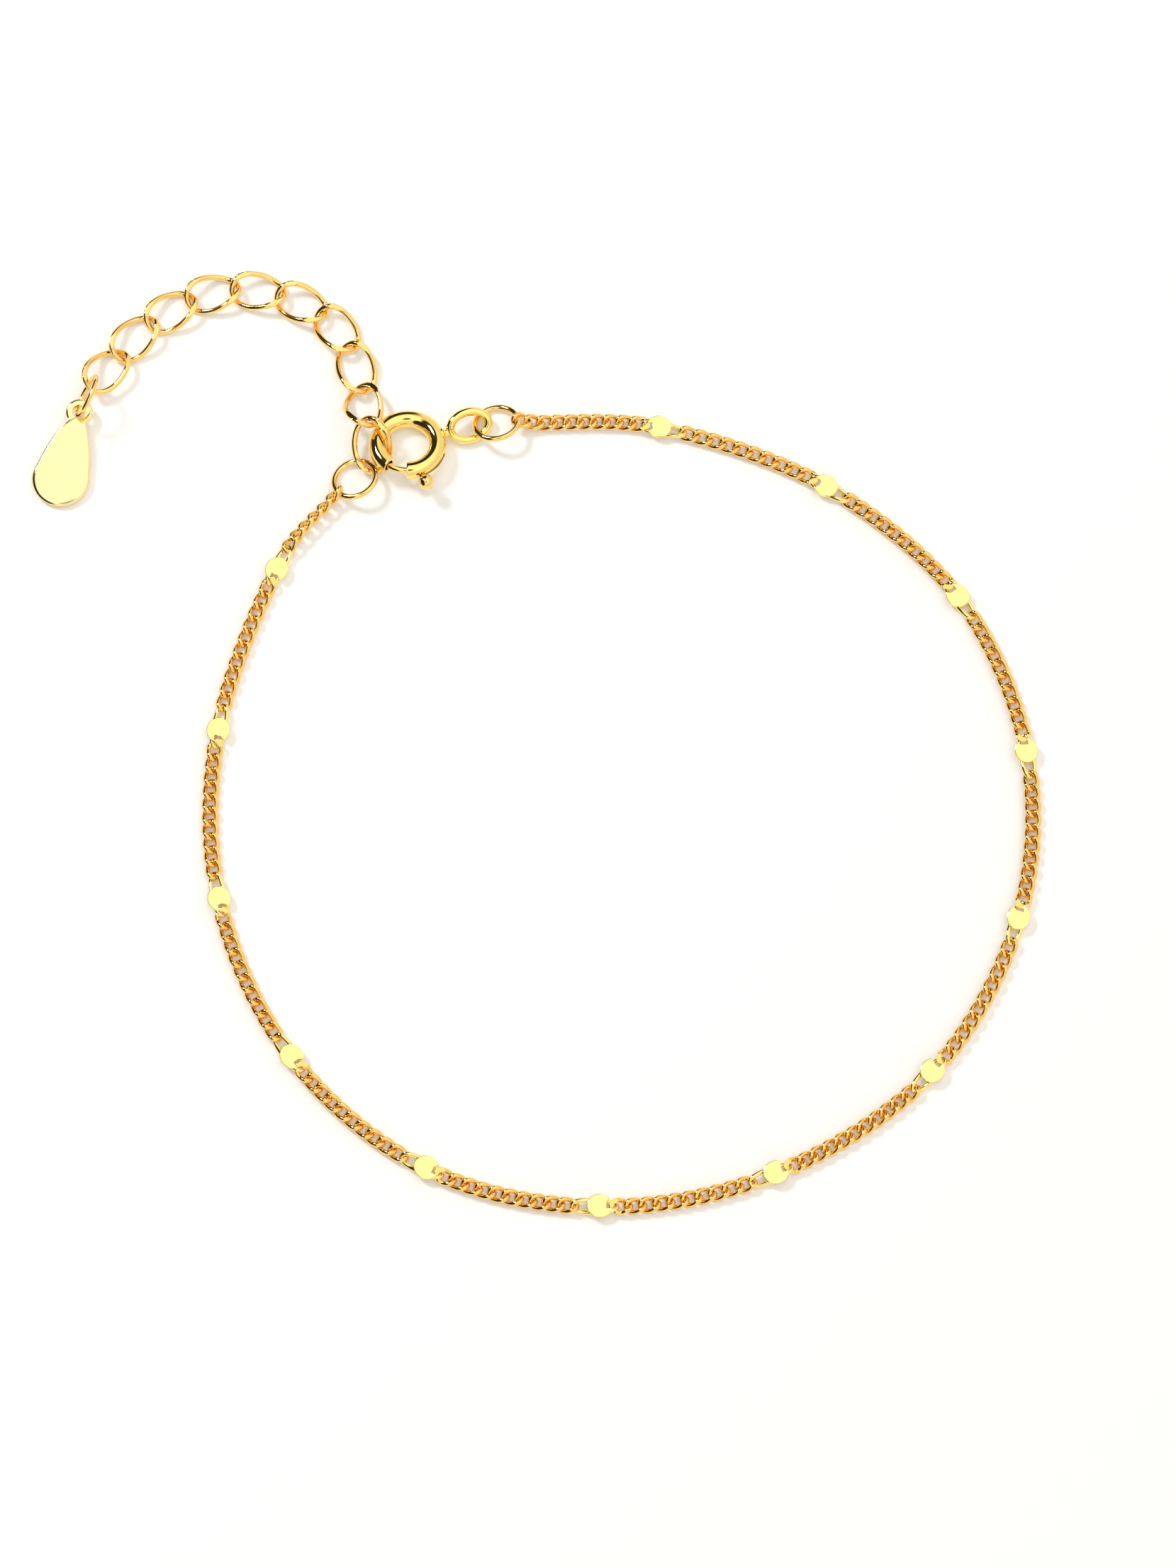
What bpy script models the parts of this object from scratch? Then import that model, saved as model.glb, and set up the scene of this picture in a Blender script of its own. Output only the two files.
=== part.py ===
"""Link bracelet of fine curb chain with disc stations, a spring ring clasp and a short extender.

The bracelet lies closed on a flat surface at z = 0. Lengths are in metres, +Z is up, +Y runs away from
the wearer's side towards the clasp, and the origin is under the middle of the whole piece.
"""
import math

import bmesh
import bpy
import numpy as np
from mathutils import Euler, Matrix, Vector

MM = 0.001
OBJECT_NAME = "link_bracelet"

# Curb chain: small oval links of round wire, twisted so that they lie flat
CURB_WIRE = 0.34 * MM
CURB_HALF_LENGTH = 0.67 * MM
CURB_HALF_WIDTH = 0.43 * MM
CURB_TWIST = 0.19 * MM
CURB_SLACK = 0.025 * MM
CURB_PITCH = 2.0 * CURB_HALF_LENGTH - CURB_WIRE - CURB_SLACK

# Disc stations: a long curb link with a flat round plate let into its middle
STATION_PITCH = 2.70 * MM
STATION_TWIST = 0.16 * MM
DISC_RADIUS = 0.86 * MM
DISC_THICKNESS = 0.36 * MM
DISC_RISE = 0.05 * MM
DISC_SHIFT = 0.28 * MM

# Extender: ten open oval links of thicker wire
EXTENDER_WIRE = 0.42 * MM
EXTENDER_HALF_LENGTH = 1.92 * MM
EXTENDER_HALF_WIDTH = 1.27 * MM
EXTENDER_TWIST = 0.36 * MM
EXTENDER_SLACK = 0.12 * MM
EXTENDER_PITCH = 2.0 * EXTENDER_HALF_LENGTH - EXTENDER_WIRE - EXTENDER_SLACK
EXTENDER_LINKS = 10

# Jump rings
JUMP_WIRE = 0.42 * MM
JUMP_RADIUS = 1.55 * MM
TAG_RING_WIRE = 0.38 * MM
TAG_RING_RADIUS = 1.50 * MM

# Spring ring clasp: radii are those of the tube's middle line and of its section
CLASP_RADIUS = 2.15 * MM
TUBE_RADIUS = 0.60 * MM
TUBE_WALL = 0.20 * MM
GATE_WIRE = 0.50 * MM
KNOB_RADIUS = 0.47 * MM
STEM_WIRE = 0.28 * MM
SLOT_WIDTH = 0.50 * MM
MOUTH_START = -127.0
MOUTH_END = -90.0
GATE_OPENING = 45.0
GATE_TIP_ENTRY = 9.0
GATE_TAIL = -36.0
KNOB_ANGLE = -66.0
NECK_ANGLE = 20.0
NECK_LENGTH = 0.35 * MM
NECK_WIRE = 0.60 * MM
EYE_WIRE = 0.55 * MM
EYE_HALF_LENGTH = 1.34 * MM
EYE_HALF_WIDTH = 0.98 * MM
EYE_TWIST = 33.0

# Drop: a flat teardrop plate with a round eye
TAG_THICKNESS = 0.50 * MM
TAG_EDGE = 0.12 * MM
TAG_EYE_RADIUS = 0.97 * MM
TAG_HOLE_RADIUS = 0.50 * MM
TAG_BODY_RADIUS = 2.05 * MM
TAG_REACH = 5.05 * MM
TAG_NECK_ANGLE = 36.0

# Clearances between pieces that touch on the real bracelet
LINK_GAP = 0.06 * MM
RUN_GAP = 0.15 * MM
KNOB_GAP = 0.06 * MM

# Facets: links have 6-sided wire, the tubes that stand for chain have 8 sides
LINK_SIDES = 6
TUBE_SIDES = 8
CLASP_SIDES = 12
LINK_STEPS = 20
RING_STEPS = 24
DISC_STEPS = 24

# The bracelet's chain, from the right jump ring round to the left one: curb links in each run, and how
# far the run lies drawn in (-) or drawn out (+)
RUNS = (
    (10, -0.40 * MM),
    (10, 0.30 * MM),
    (10, 0.05 * MM),
    (10, 0.05 * MM),
    (10, -0.15 * MM),
    (10, 0.25 * MM),
    (11, -0.30 * MM),
    (10, -0.05 * MM),
    (10, -0.15 * MM),
    (10, -0.10 * MM),
    (10, 0.10 * MM),
    (10, -0.05 * MM),
    (10, 0.20 * MM),
    (6, -0.15 * MM),
)

# How the chain lies, in millimetres: its ends are moved to the jump rings that hold them
CHAIN_ROUTE = (
    (-4.8, 27.0),
    (5.4, 26.6),
    (17.2, 22.1),
    (26.5, 13.7),
    (31.0, 2.2),
    (30.1, -9.9),
    (23.8, -20.9),
    (12.9, -28.0),
    (0.9, -30.3),
    (-10.9, -27.7),
    (-20.3, -19.9),
    (-25.6, -8.7),
    (-26.0, 3.6),
    (-22.0, 15.9),
    (-17.8, 21.5),
)
CHAIN_CLIMB = 2.2 * MM

# How the extender lies, in millimetres, from its clasped link to its free end
EXTENDER_ROUTE = (
    (-15.4, 24.9),
    (-16.07, 27.9),
    (-16.6, 30.9),
    (-18.0, 33.9),
    (-20.5, 35.9),
    (-23.6, 36.9),
    (-26.9, 36.8),
    (-30.0, 35.4),
    (-32.6, 33.3),
    (-34.7, 30.5),
    (-36.2, 28.0),
)

# Yaw, pitch and roll of the extender links that don't lie flat, counted from the clasped one: two climb
# over the clasp and the last one hangs in the upright tag ring
RAISED_LINKS = {
    0: (96.0, 24.8, -6.0),
    1: (97.0, -24.1, -1.5),
    9: (-128.0, 13.5, -0.9),
}

# Where the clasp lies, and the turn of the pieces round it, in degrees
CLASP_PLACE = (-12.88 * MM, 25.0 * MM)
CLASP_TILT = -11.0
EYE_JUMP_TURN = (-24.0, -8.0)
HOOK_JUMP_TURN = (-15.6, -14.9)
HOOK_JUMP_BEARING = 207.0
HOOKED_GAP = 0.08 * MM
HOOKED_SHIFT = 0.065 * MM
HOOKED_LINK_EASE = 0.045 * MM
TAG_RING_BEARING = 71.0
TAG_RING_LEAN = 22.0
TAG_BEARING = -102.0

# Middle of the outline of everything, which becomes the origin
FRAME_CENTRE = (-3.87 * MM, 3.61 * MM)

GOLD_COLOURS = {
    "chain_gold": ((1.00, 0.72, 0.27), 0.16),
    "disc_gold": ((1.00, 0.82, 0.42), 0.08),
    "extender_gold": ((1.00, 0.74, 0.30), 0.14),
    "jump_ring_gold": ((1.00, 0.75, 0.31), 0.12),
    "clasp_gold": ((1.00, 0.77, 0.34), 0.08),
    "gate_gold": ((1.00, 0.76, 0.32), 0.10),
    "tag_gold": ((1.00, 0.84, 0.47), 0.10),
}


def clear_scene():
    """Remove every object, so that the file starts empty."""
    for item in list(bpy.data.objects):
        bpy.data.objects.remove(item, do_unlink=True)


def new_collection(name):
    """Add a collection to the scene."""
    group = bpy.data.collections.new(name)
    bpy.context.scene.collection.children.link(group)
    return group


def gold(name):
    """A polished gold finish from the table of colours."""
    colour, roughness = GOLD_COLOURS[name]
    material = bpy.data.materials.new(name)
    material.use_nodes = True
    shader = material.node_tree.nodes["Principled BSDF"]
    shader.inputs["Base Color"].default_value = (*colour, 1.0)
    shader.inputs["Metallic"].default_value = 1.0
    shader.inputs["Roughness"].default_value = roughness
    return material


def put(item, group, material=None, parent=None):
    """File an object in its collection, with its finish and its parent."""
    group.objects.link(item)
    if material is not None:
        item.data.materials.append(material)
    item.parent = parent
    return item


def oval_points(half_length, half_width, twist, steps):
    """Middle line of a link: an oval whose four corners rise and fall in turn."""
    turns = np.linspace(0.0, 2.0 * math.pi, steps, endpoint=False)
    return np.stack(
        [half_length * np.cos(turns), half_width * np.sin(turns), -twist * np.sin(2.0 * turns)], axis=1
    )


def arc_points(radius, start, end, steps):
    """Points of an arc in the XY plane, with its angles in degrees."""
    angles = np.radians(np.linspace(start, end, steps + 1))
    return np.stack([radius * np.cos(angles), radius * np.sin(angles), np.zeros(steps + 1)], axis=1)


def wire(name, points, radius, sides, closed):
    """A round wire along points, as a curve with a bevel and filled caps."""
    curve = bpy.data.curves.new(name, "CURVE")
    curve.dimensions = "3D"
    curve.bevel_depth = radius
    curve.bevel_resolution = (sides - 4) // 2
    curve.use_fill_caps = True
    spline = curve.splines.new("POLY")
    spline.points.add(len(points) - 1)
    for point, place in zip(spline.points, points):
        point.co = (*(float(value) for value in place), 1.0)
    spline.use_cyclic_u = closed
    return bpy.data.objects.new(name, curve)


def shade(mesh):
    """Shade a mesh smooth, with its edges kept sharp."""
    mesh.shade_smooth()
    mesh.set_sharp_from_angle(angle=math.radians(40.0))


def as_mesh(item):
    """Turn a curve object into a welded mesh object at the same place."""
    bpy.context.scene.collection.objects.link(item)
    bpy.context.view_layer.update()
    evaluated = item.evaluated_get(bpy.context.evaluated_depsgraph_get())
    mesh = bpy.data.meshes.new_from_object(evaluated)
    weld(mesh)
    shade(mesh)
    name, place = item.name, item.matrix_world.copy()
    bpy.data.objects.remove(item, do_unlink=True)
    solid = bpy.data.objects.new(name, mesh)
    solid.matrix_world = place
    return solid


def weld(mesh):
    """Join the points that lie on each other and turn the faces outwards."""
    cage = bmesh.new()
    cage.from_mesh(mesh)
    bmesh.ops.remove_doubles(cage, verts=cage.verts, dist=0.001 * MM)
    bmesh.ops.recalc_face_normals(cage, faces=cage.faces)
    cage.to_mesh(mesh)
    cage.free()


def cylinder(name, radius, depth, steps, place=(0.0, 0.0, 0.0), turn=(0.0, 0.0, 0.0)):
    """A round bar or plate, centred at a place, with its axis along Z before it is turned."""
    mesh = bpy.data.meshes.new(name)
    cage = bmesh.new()
    where = Matrix.Translation(place) @ Euler(turn).to_matrix().to_4x4()
    bmesh.ops.create_cone(
        cage, cap_ends=True, segments=steps, radius1=radius, radius2=radius, depth=depth, matrix=where
    )
    cage.to_mesh(mesh)
    cage.free()
    shade(mesh)
    return bpy.data.objects.new(name, mesh)


def combine(base, tools, group, operation):
    """Join shapes to an object, or cut them away, and keep the result as a plain mesh."""
    group.objects.link(base)
    for tool in tools:
        group.objects.link(tool)
        tool.hide_render = True
        tool.display_type = "WIRE"
        step = base.modifiers.new(tool.name, "BOOLEAN")
        step.operation = operation
        step.object = tool
    bpy.context.view_layer.update()
    evaluated = base.evaluated_get(bpy.context.evaluated_depsgraph_get())
    mesh = bpy.data.meshes.new_from_object(evaluated)
    shade(mesh)
    mesh.materials.clear()
    base.modifiers.clear()
    base.data = mesh
    group.objects.unlink(base)
    return base


def lying(points, radius, place, turn, lift=0.0):
    """Where a piece rests: turned by yaw, pitch and roll in degrees, lowest point on the surface.

    A positive pitch raises the end at +X of the piece.
    """
    yaw, pitch, roll = (math.radians(angle) for angle in turn)
    facing = Matrix.Rotation(yaw, 3, "Z") @ Matrix.Rotation(-pitch, 3, "Y") @ Matrix.Rotation(roll, 3, "X")
    lowest = min((facing @ Vector(point)).z for point in points)
    return Matrix.Translation((place[0], place[1], radius + lift - lowest)) @ facing.to_4x4()


class Path:
    """A smooth curve through chosen points, measured along its length."""

    def __init__(self, points, samples=48):
        points = np.asarray(points, dtype=float)
        ends = np.vstack([2 * points[0] - points[1], points, 2 * points[-1] - points[-2]])
        pieces = []
        for before, start, end, after in zip(ends, ends[1:], ends[2:], ends[3:]):
            share = np.linspace(0.0, 1.0, samples, endpoint=False)[:, None]
            pieces.append(
                0.5
                * (
                    2 * start
                    + (end - before) * share
                    + (2 * before - 5 * start + 4 * end - after) * share**2
                    + (3 * start - before - 3 * end + after) * share**3
                )
            )
        self.points = np.vstack(pieces + [points[-1:]])
        steps = np.linalg.norm(np.diff(self.points, axis=0), axis=1)
        self.along = np.concatenate([[0.0], np.cumsum(steps)])
        self.length = self.along[-1]

    def at(self, distance):
        """The point at a distance from the start."""
        return np.array([np.interp(distance, self.along, self.points[:, axis]) for axis in range(2)])


def drawn_to_length(points, length):
    """Open or draw in a loop of points, with its ends kept, until its smooth path has a length."""
    points = np.asarray(points, dtype=float)
    middle = points.mean(axis=0)
    share = np.sin(np.linspace(0.0, math.pi, len(points)))[:, None]
    low, high = -0.5, 1.0
    for _ in range(40):
        grow = 0.5 * (low + high)
        path = Path(points + (points - middle) * share * grow)
        if path.length < length:
            low = grow
        else:
            high = grow
    return path


def clasp_frame():
    """Place and tilt of the spring ring, whose far side rests on the surface."""
    tilt = math.radians(CLASP_TILT)
    height = TUBE_RADIUS + CLASP_RADIUS * math.sin(-tilt)
    return Matrix.Translation((*CLASP_PLACE, height)) @ Matrix.Rotation(tilt, 4, "X")


def eye_distance():
    """From the spring ring's centre to its eye's centre."""
    return CLASP_RADIUS + TUBE_RADIUS + NECK_LENGTH + 0.5 * EYE_WIRE + EYE_HALF_LENGTH


def on_clasp(angle, distance):
    """A point in the spring ring's own plane, in world coordinates."""
    turn = math.radians(angle)
    return clasp_frame() @ Vector((distance * math.cos(turn), distance * math.sin(turn), 0.0))


def jump_ring_frame(place, turn):
    """A jump ring that leans on the surface, turned about X, then Y, in degrees."""
    facing = Euler((0.0, math.radians(turn[1]), 0.0)).to_matrix()
    facing = Matrix.Rotation(math.radians(turn[0]), 3, "X") @ facing
    ring = oval_points(JUMP_RADIUS, JUMP_RADIUS, 0.0, 72)
    lowest = min((facing @ Vector(point)).z for point in ring)
    return Matrix.Translation((place[0], place[1], 0.5 * JUMP_WIRE - lowest)) @ facing.to_4x4()


def right_jump_frame():
    """The jump ring that the clasp's eye pulls on."""
    reach = eye_distance() + EYE_HALF_LENGTH - 0.5 * (EYE_WIRE + JUMP_WIRE) - LINK_GAP
    far_end = on_clasp(NECK_ANGLE, reach)
    return jump_ring_frame((far_end.x + JUMP_RADIUS - 0.40 * MM, far_end.y - 0.15 * MM), EYE_JUMP_TURN)


def hooked_link_place():
    """Where the middle of the clasped extender link lies: one side wire is inside the spring ring."""
    wall = CLASP_PLACE[0] - CLASP_RADIUS + TUBE_RADIUS
    return wall + 0.5 * EXTENDER_WIRE + HOOKED_GAP - EXTENDER_HALF_WIDTH, CLASP_PLACE[1] - HOOKED_SHIFT


def left_jump_frame():
    """The jump ring that the clasped extender link hangs on."""
    near_end = extender_frames()[-1] @ Vector((-EXTENDER_HALF_LENGTH, 0.0, 0.0))
    away = math.radians(HOOK_JUMP_BEARING)
    x = near_end.x + JUMP_RADIUS * math.cos(away)
    return jump_ring_frame((x, near_end.y + JUMP_RADIUS * math.sin(away)), HOOK_JUMP_TURN)


def chain_ends():
    """The points on the two jump rings' middle lines that the chain's end links pass round."""
    right = right_jump_frame() @ Vector((JUMP_RADIUS, 0.10 * JUMP_RADIUS, 0.0))
    turn = math.radians(215.0)
    left = left_jump_frame() @ Vector((JUMP_RADIUS * math.cos(turn), JUMP_RADIUS * math.sin(turn), 0.0))
    return right, left


def chain_cells():
    """Where each run and each station lies along the chain, as lengths from its first jump ring."""
    start = CURB_HALF_LENGTH - 0.5 * (CURB_WIRE + JUMP_WIRE) - 0.5 * CURB_PITCH
    here = start
    runs, stations = [], []
    for index, (links, ease) in enumerate(RUNS):
        length = links * CURB_PITCH + ease
        runs.append((here, here + length))
        here += length
        if index < len(RUNS) - 1:
            stations.append(here + 0.5 * STATION_PITCH)
            here += STATION_PITCH
    return runs, stations, here + start


def chain_path():
    """The chain's middle line on the surface, from jump ring to jump ring."""
    right, left = chain_ends()
    points = np.array(CHAIN_ROUTE) * MM
    share = np.linspace(0.0, 1.0, len(points))[:, None] ** 4
    start = np.array(right.xy) - points[0]
    end = np.array(left.xy) - points[-1]
    points = points + start * (1.0 - share) ** 4 + end * share
    return drawn_to_length(points, chain_cells()[2])


def chain_height(distance, length):
    """Height of the chain's middle line, which climbs to the jump ring at each end."""
    right, left = chain_ends()
    base = CURB_TWIST + 0.5 * CURB_WIRE
    near_right = max(0.0, 1.0 - distance / CHAIN_CLIMB) ** 2
    near_left = max(0.0, 1.0 - (length - distance) / CHAIN_CLIMB) ** 2
    return base + (right.z - base) * near_right + (left.z - base) * near_left


def build_curb_runs(group, parent):
    """The runs of curb links, each a flattened tube of the chain's width and thickness."""
    path = chain_path()
    runs, _, length = chain_cells()
    half_width = CURB_HALF_WIDTH + 0.5 * CURB_WIRE
    flatness = (CURB_TWIST + 0.5 * CURB_WIRE) / half_width
    overhang = CURB_HALF_LENGTH + 0.5 * CURB_WIRE - 0.5 * CURB_PITCH
    finish = gold("chain_gold")
    for index, (start, end) in enumerate(runs):
        first = start + overhang + RUN_GAP if index else 0.5 * JUMP_WIRE + RUN_GAP
        last = end - overhang - RUN_GAP if index < len(runs) - 1 else length - 0.5 * JUMP_WIRE - RUN_GAP
        count = max(3, round((last - first) / (5.0 * half_width)) + 1)
        points = []
        for distance in np.linspace(first, last, count):
            x, y = path.at(distance)
            points.append((x, y, chain_height(distance, length) / flatness))
        tube = wire(f"curb_run_{index + 1:02d}", points, half_width, TUBE_SIDES, False)
        tube.scale = (1.0, 1.0, flatness)
        put(tube, group, finish, parent)


def build_disc_links(group, cutters, parent):
    """The station links: one solid shape, laid at each station along the chain."""
    half_length = 0.5 * STATION_PITCH + CURB_HALF_LENGTH - 0.5 * CURB_PITCH
    link = as_mesh(
        wire(
            "station_wire",
            oval_points(half_length, CURB_HALF_WIDTH, STATION_TWIST, LINK_STEPS + 4),
            0.5 * CURB_WIRE,
            LINK_SIDES,
            True,
        )
    )
    top = STATION_TWIST + 0.5 * CURB_WIRE + DISC_RISE
    plate_place = (-DISC_SHIFT, 0.0, top - 0.5 * DISC_THICKNESS)
    plate = cylinder("station_plate", DISC_RADIUS, DISC_THICKNESS, DISC_STEPS, plate_place)
    shape = combine(link, [plate], cutters, "UNION").data
    shape.name = "disc_link"
    shape.materials.append(gold("disc_gold"))
    path = chain_path()
    for index, middle in enumerate(chain_cells()[1]):
        start = path.at(middle - 0.5 * STATION_PITCH)
        end = path.at(middle + 0.5 * STATION_PITCH)
        item = bpy.data.objects.new(f"disc_link_{index + 1:02d}", shape)
        centre = 0.5 * (start + end)
        item.location = (centre[0], centre[1], STATION_TWIST + 0.5 * CURB_WIRE)
        item.rotation_euler = (0.0, 0.0, math.atan2(end[1] - start[1], end[0] - start[0]))
        put(item, group, None, parent)


def extender_frames():
    """Where each extender link lies, from the free end's link to the clasped one."""
    route = np.array(EXTENDER_ROUTE) * MM
    hooked = np.array(hooked_link_place())
    path = Path(route + (hooked - route[0]))
    shape = oval_points(EXTENDER_HALF_LENGTH, EXTENDER_HALF_WIDTH, EXTENDER_TWIST, 72)
    frames = []
    here = 0.0
    for index in range(EXTENDER_LINKS):
        pitch = RAISED_LINKS.get(index, (0.0, 0.0, 0.0))[1]
        length = EXTENDER_PITCH * math.cos(math.radians(pitch))
        here += 0.5 * length if index else 0.0
        centre = path.at(here)
        ahead = path.at(here + 0.5 * length) - path.at(here - 0.5 * length)
        bearing = math.degrees(math.atan2(ahead[1], ahead[0]))
        turn = RAISED_LINKS.get(index, (bearing, 0.0, 0.0))
        frames.append(lying(shape, 0.5 * EXTENDER_WIRE, centre, turn))
        here += 0.5 * length + (HOOKED_LINK_EASE if index == 0 else 0.0)
    return frames[::-1]


def build_extender(group, parent):
    """The extender's links, each hooked through the next."""
    finish = gold("extender_gold")
    shape = oval_points(EXTENDER_HALF_LENGTH, EXTENDER_HALF_WIDTH, EXTENDER_TWIST, LINK_STEPS)
    for index, frame in enumerate(extender_frames()):
        link = wire(f"extender_link_{index + 1:02d}", shape, 0.5 * EXTENDER_WIRE, LINK_SIDES, True)
        link.matrix_local = frame
        put(link, group, finish, parent)


def build_jump_rings(group, parent):
    """The two round rings that end the curb chain."""
    finish = gold("jump_ring_gold")
    shape = oval_points(JUMP_RADIUS, JUMP_RADIUS, 0.0, RING_STEPS)
    for name, frame in (("jump_ring_right", right_jump_frame()), ("jump_ring_left", left_jump_frame())):
        ring = wire(name, shape, 0.5 * JUMP_WIRE, LINK_SIDES, True)
        ring.matrix_local = frame
        put(ring, group, finish, parent)


def build_clasp_ring(group, cutters, parent):
    """The spring ring: a slotted tube with its neck and eye, one soldered solid."""
    sweep = arc_points(CLASP_RADIUS, MOUTH_END, 360.0 + MOUTH_START, 36)
    tube = as_mesh(wire("clasp_ring", sweep, TUBE_RADIUS, CLASP_SIDES, False))
    turn = math.radians(NECK_ANGLE)
    neck_start = CLASP_RADIUS + TUBE_RADIUS - 0.5 * TUBE_WALL
    neck_end = eye_distance() - EYE_HALF_LENGTH
    middle = 0.5 * (neck_start + neck_end)
    neck = cylinder(
        "clasp_neck",
        0.5 * NECK_WIRE,
        neck_end - neck_start,
        TUBE_SIDES,
        (middle * math.cos(turn), middle * math.sin(turn), 0.0),
        (0.0, math.radians(90.0), turn),
    )
    oval = oval_points(EYE_HALF_LENGTH, EYE_HALF_WIDTH, 0.0, RING_STEPS)
    eye = wire("clasp_eye", oval, 0.5 * EYE_WIRE, TUBE_SIDES, True)
    eye.matrix_world = (
        Matrix.Rotation(turn, 4, "Z")
        @ Matrix.Translation((eye_distance(), 0.0, 0.0))
        @ Matrix.Rotation(math.radians(EYE_TWIST), 4, "X")
    )
    tube = combine(tube, [neck, as_mesh(eye)], cutters, "UNION")
    bore = as_mesh(
        wire(
            "clasp_bore",
            arc_points(CLASP_RADIUS, MOUTH_END - 4.0, 364.0 + MOUTH_START, 36),
            TUBE_RADIUS - TUBE_WALL,
            CLASP_SIDES,
            False,
        )
    )
    slot_margin = math.degrees(0.5 * SLOT_WIDTH / (CLASP_RADIUS + TUBE_RADIUS))
    slot = as_mesh(
        wire(
            "clasp_slot",
            arc_points(
                CLASP_RADIUS + TUBE_RADIUS - 0.5 * TUBE_WALL,
                KNOB_ANGLE - slot_margin,
                KNOB_ANGLE + GATE_OPENING + slot_margin,
                10,
            ),
            0.5 * SLOT_WIDTH,
            TUBE_SIDES,
            False,
        )
    )
    ring = combine(tube, [bore, slot], cutters, "DIFFERENCE")
    ring.name = "clasp_ring"
    ring.matrix_local = clasp_frame()
    put(ring, group, gold("clasp_gold"), parent)


def build_clasp_gate(group, cutters, parent):
    """The sprung gate: a bent wire that turns about the ring's centre, with its thumb knob."""
    gate = as_mesh(
        wire(
            "clasp_gate",
            arc_points(CLASP_RADIUS, MOUTH_START - GATE_TIP_ENTRY, GATE_TAIL, 14),
            0.5 * GATE_WIRE,
            TUBE_SIDES,
            False,
        )
    )
    turn = math.radians(KNOB_ANGLE)
    knob_distance = CLASP_RADIUS + TUBE_RADIUS + KNOB_GAP + KNOB_RADIUS
    middle = 0.5 * (CLASP_RADIUS + knob_distance)
    stem = cylinder(
        "gate_stem",
        0.5 * STEM_WIRE,
        knob_distance - CLASP_RADIUS,
        TUBE_SIDES,
        (middle * math.cos(turn), middle * math.sin(turn), 0.0),
        (0.0, math.radians(90.0), turn),
    )
    mesh = bpy.data.meshes.new("gate_knob")
    cage = bmesh.new()
    where = Matrix.Translation((knob_distance * math.cos(turn), knob_distance * math.sin(turn), 0.0))
    bmesh.ops.create_uvsphere(cage, u_segments=12, v_segments=8, radius=KNOB_RADIUS, matrix=where)
    cage.to_mesh(mesh)
    cage.free()
    knob = bpy.data.objects.new("gate_knob", mesh)
    gate = combine(gate, [stem, knob], cutters, "UNION")
    gate.name = "clasp_gate"
    gate.matrix_local = clasp_frame()
    put(gate, group, gold("gate_gold"), parent)


def tag_outline():
    """The drop's outline: the eye's round, straight flanks and a big round end, in its own plane."""
    neck = math.radians(TAG_NECK_ANGLE)
    eye = [
        (TAG_EYE_RADIUS * math.cos(angle), TAG_EYE_RADIUS * math.sin(angle))
        for angle in np.linspace(neck, 2.0 * math.pi - neck, 17)
    ]
    corner = Vector(eye[0])
    centre = Vector((TAG_REACH, 0.0))
    away = corner - centre
    flank = math.atan2(away.y, away.x) - math.acos(TAG_BODY_RADIUS / away.length)
    body = [
        (TAG_REACH + TAG_BODY_RADIUS * math.cos(angle), TAG_BODY_RADIUS * math.sin(angle))
        for angle in np.linspace(-flank, flank, 25)
    ]
    return eye + body


def tag_frame():
    """The drop lies with its eye held up by the tag ring and its round end on the surface."""
    ring = tag_ring_frame().translation
    x = ring.x - 0.56 * MM
    y = ring.y - 0.667 * TAG_RING_RADIUS
    eye_height = 0.5 * TAG_THICKNESS + TAG_RING_WIRE + LINK_GAP + 0.16 * MM
    drop = math.asin((eye_height - 0.5 * TAG_THICKNESS) / (TAG_REACH + TAG_BODY_RADIUS))
    return (
        Matrix.Translation((x, y, eye_height))
        @ Matrix.Rotation(math.radians(TAG_BEARING), 4, "Z")
        @ Matrix.Rotation(drop, 4, "Y")
    )


def tag_ring_frame():
    """The tag ring stands almost upright on its edge, through the end link and the drop's eye."""
    end_link = extender_frames()[0]
    heading = end_link @ Vector((EXTENDER_HALF_LENGTH + 0.70 * MM, 0.39 * MM, 0.0))
    bearing = math.radians(TAG_RING_BEARING)
    across = Vector((math.cos(bearing), math.sin(bearing), 0.0))
    aside = Vector((math.sin(bearing), -math.cos(bearing), 0.0))
    lean = math.radians(TAG_RING_LEAN)
    upward = math.cos(lean) * Vector((0.0, 0.0, 1.0)) + math.sin(lean) * aside
    facing = Matrix((across, upward, across.cross(upward))).transposed()
    height = 0.5 * TAG_RING_WIRE + TAG_RING_RADIUS * math.cos(lean)
    return Matrix.Translation((heading.x, heading.y, height)) @ facing.to_4x4()


def build_tag(group, cutters, parent):
    """The small ring and the teardrop plate at the extender's free end."""
    ring = wire(
        "tag_ring",
        oval_points(TAG_RING_RADIUS, TAG_RING_RADIUS, 0.0, RING_STEPS),
        0.5 * TAG_RING_WIRE,
        LINK_SIDES,
        True,
    )
    ring.matrix_local = tag_ring_frame()
    put(ring, group, gold("jump_ring_gold"), parent)
    outline = bpy.data.curves.new("drop_tag", "CURVE")
    outline.dimensions = "2D"
    outline.fill_mode = "BOTH"
    outline.extrude = 0.5 * TAG_THICKNESS - TAG_EDGE
    outline.bevel_depth = TAG_EDGE
    outline.bevel_resolution = 1
    outline.offset = -TAG_EDGE
    hole = [
        (TAG_HOLE_RADIUS * math.cos(angle), TAG_HOLE_RADIUS * math.sin(angle))
        for angle in np.linspace(0.0, 2.0 * math.pi, 16, endpoint=False)
    ]
    for points in (tag_outline(), hole):
        spline = outline.splines.new("POLY")
        spline.points.add(len(points) - 1)
        for point, (x, y) in zip(spline.points, points):
            point.co = (x, y, 0.0, 1.0)
        spline.use_cyclic_u = True
    tag = as_mesh(bpy.data.objects.new("drop_tag", outline))
    tag.matrix_local = tag_frame()
    put(tag, group, gold("tag_gold"), parent)


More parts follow.
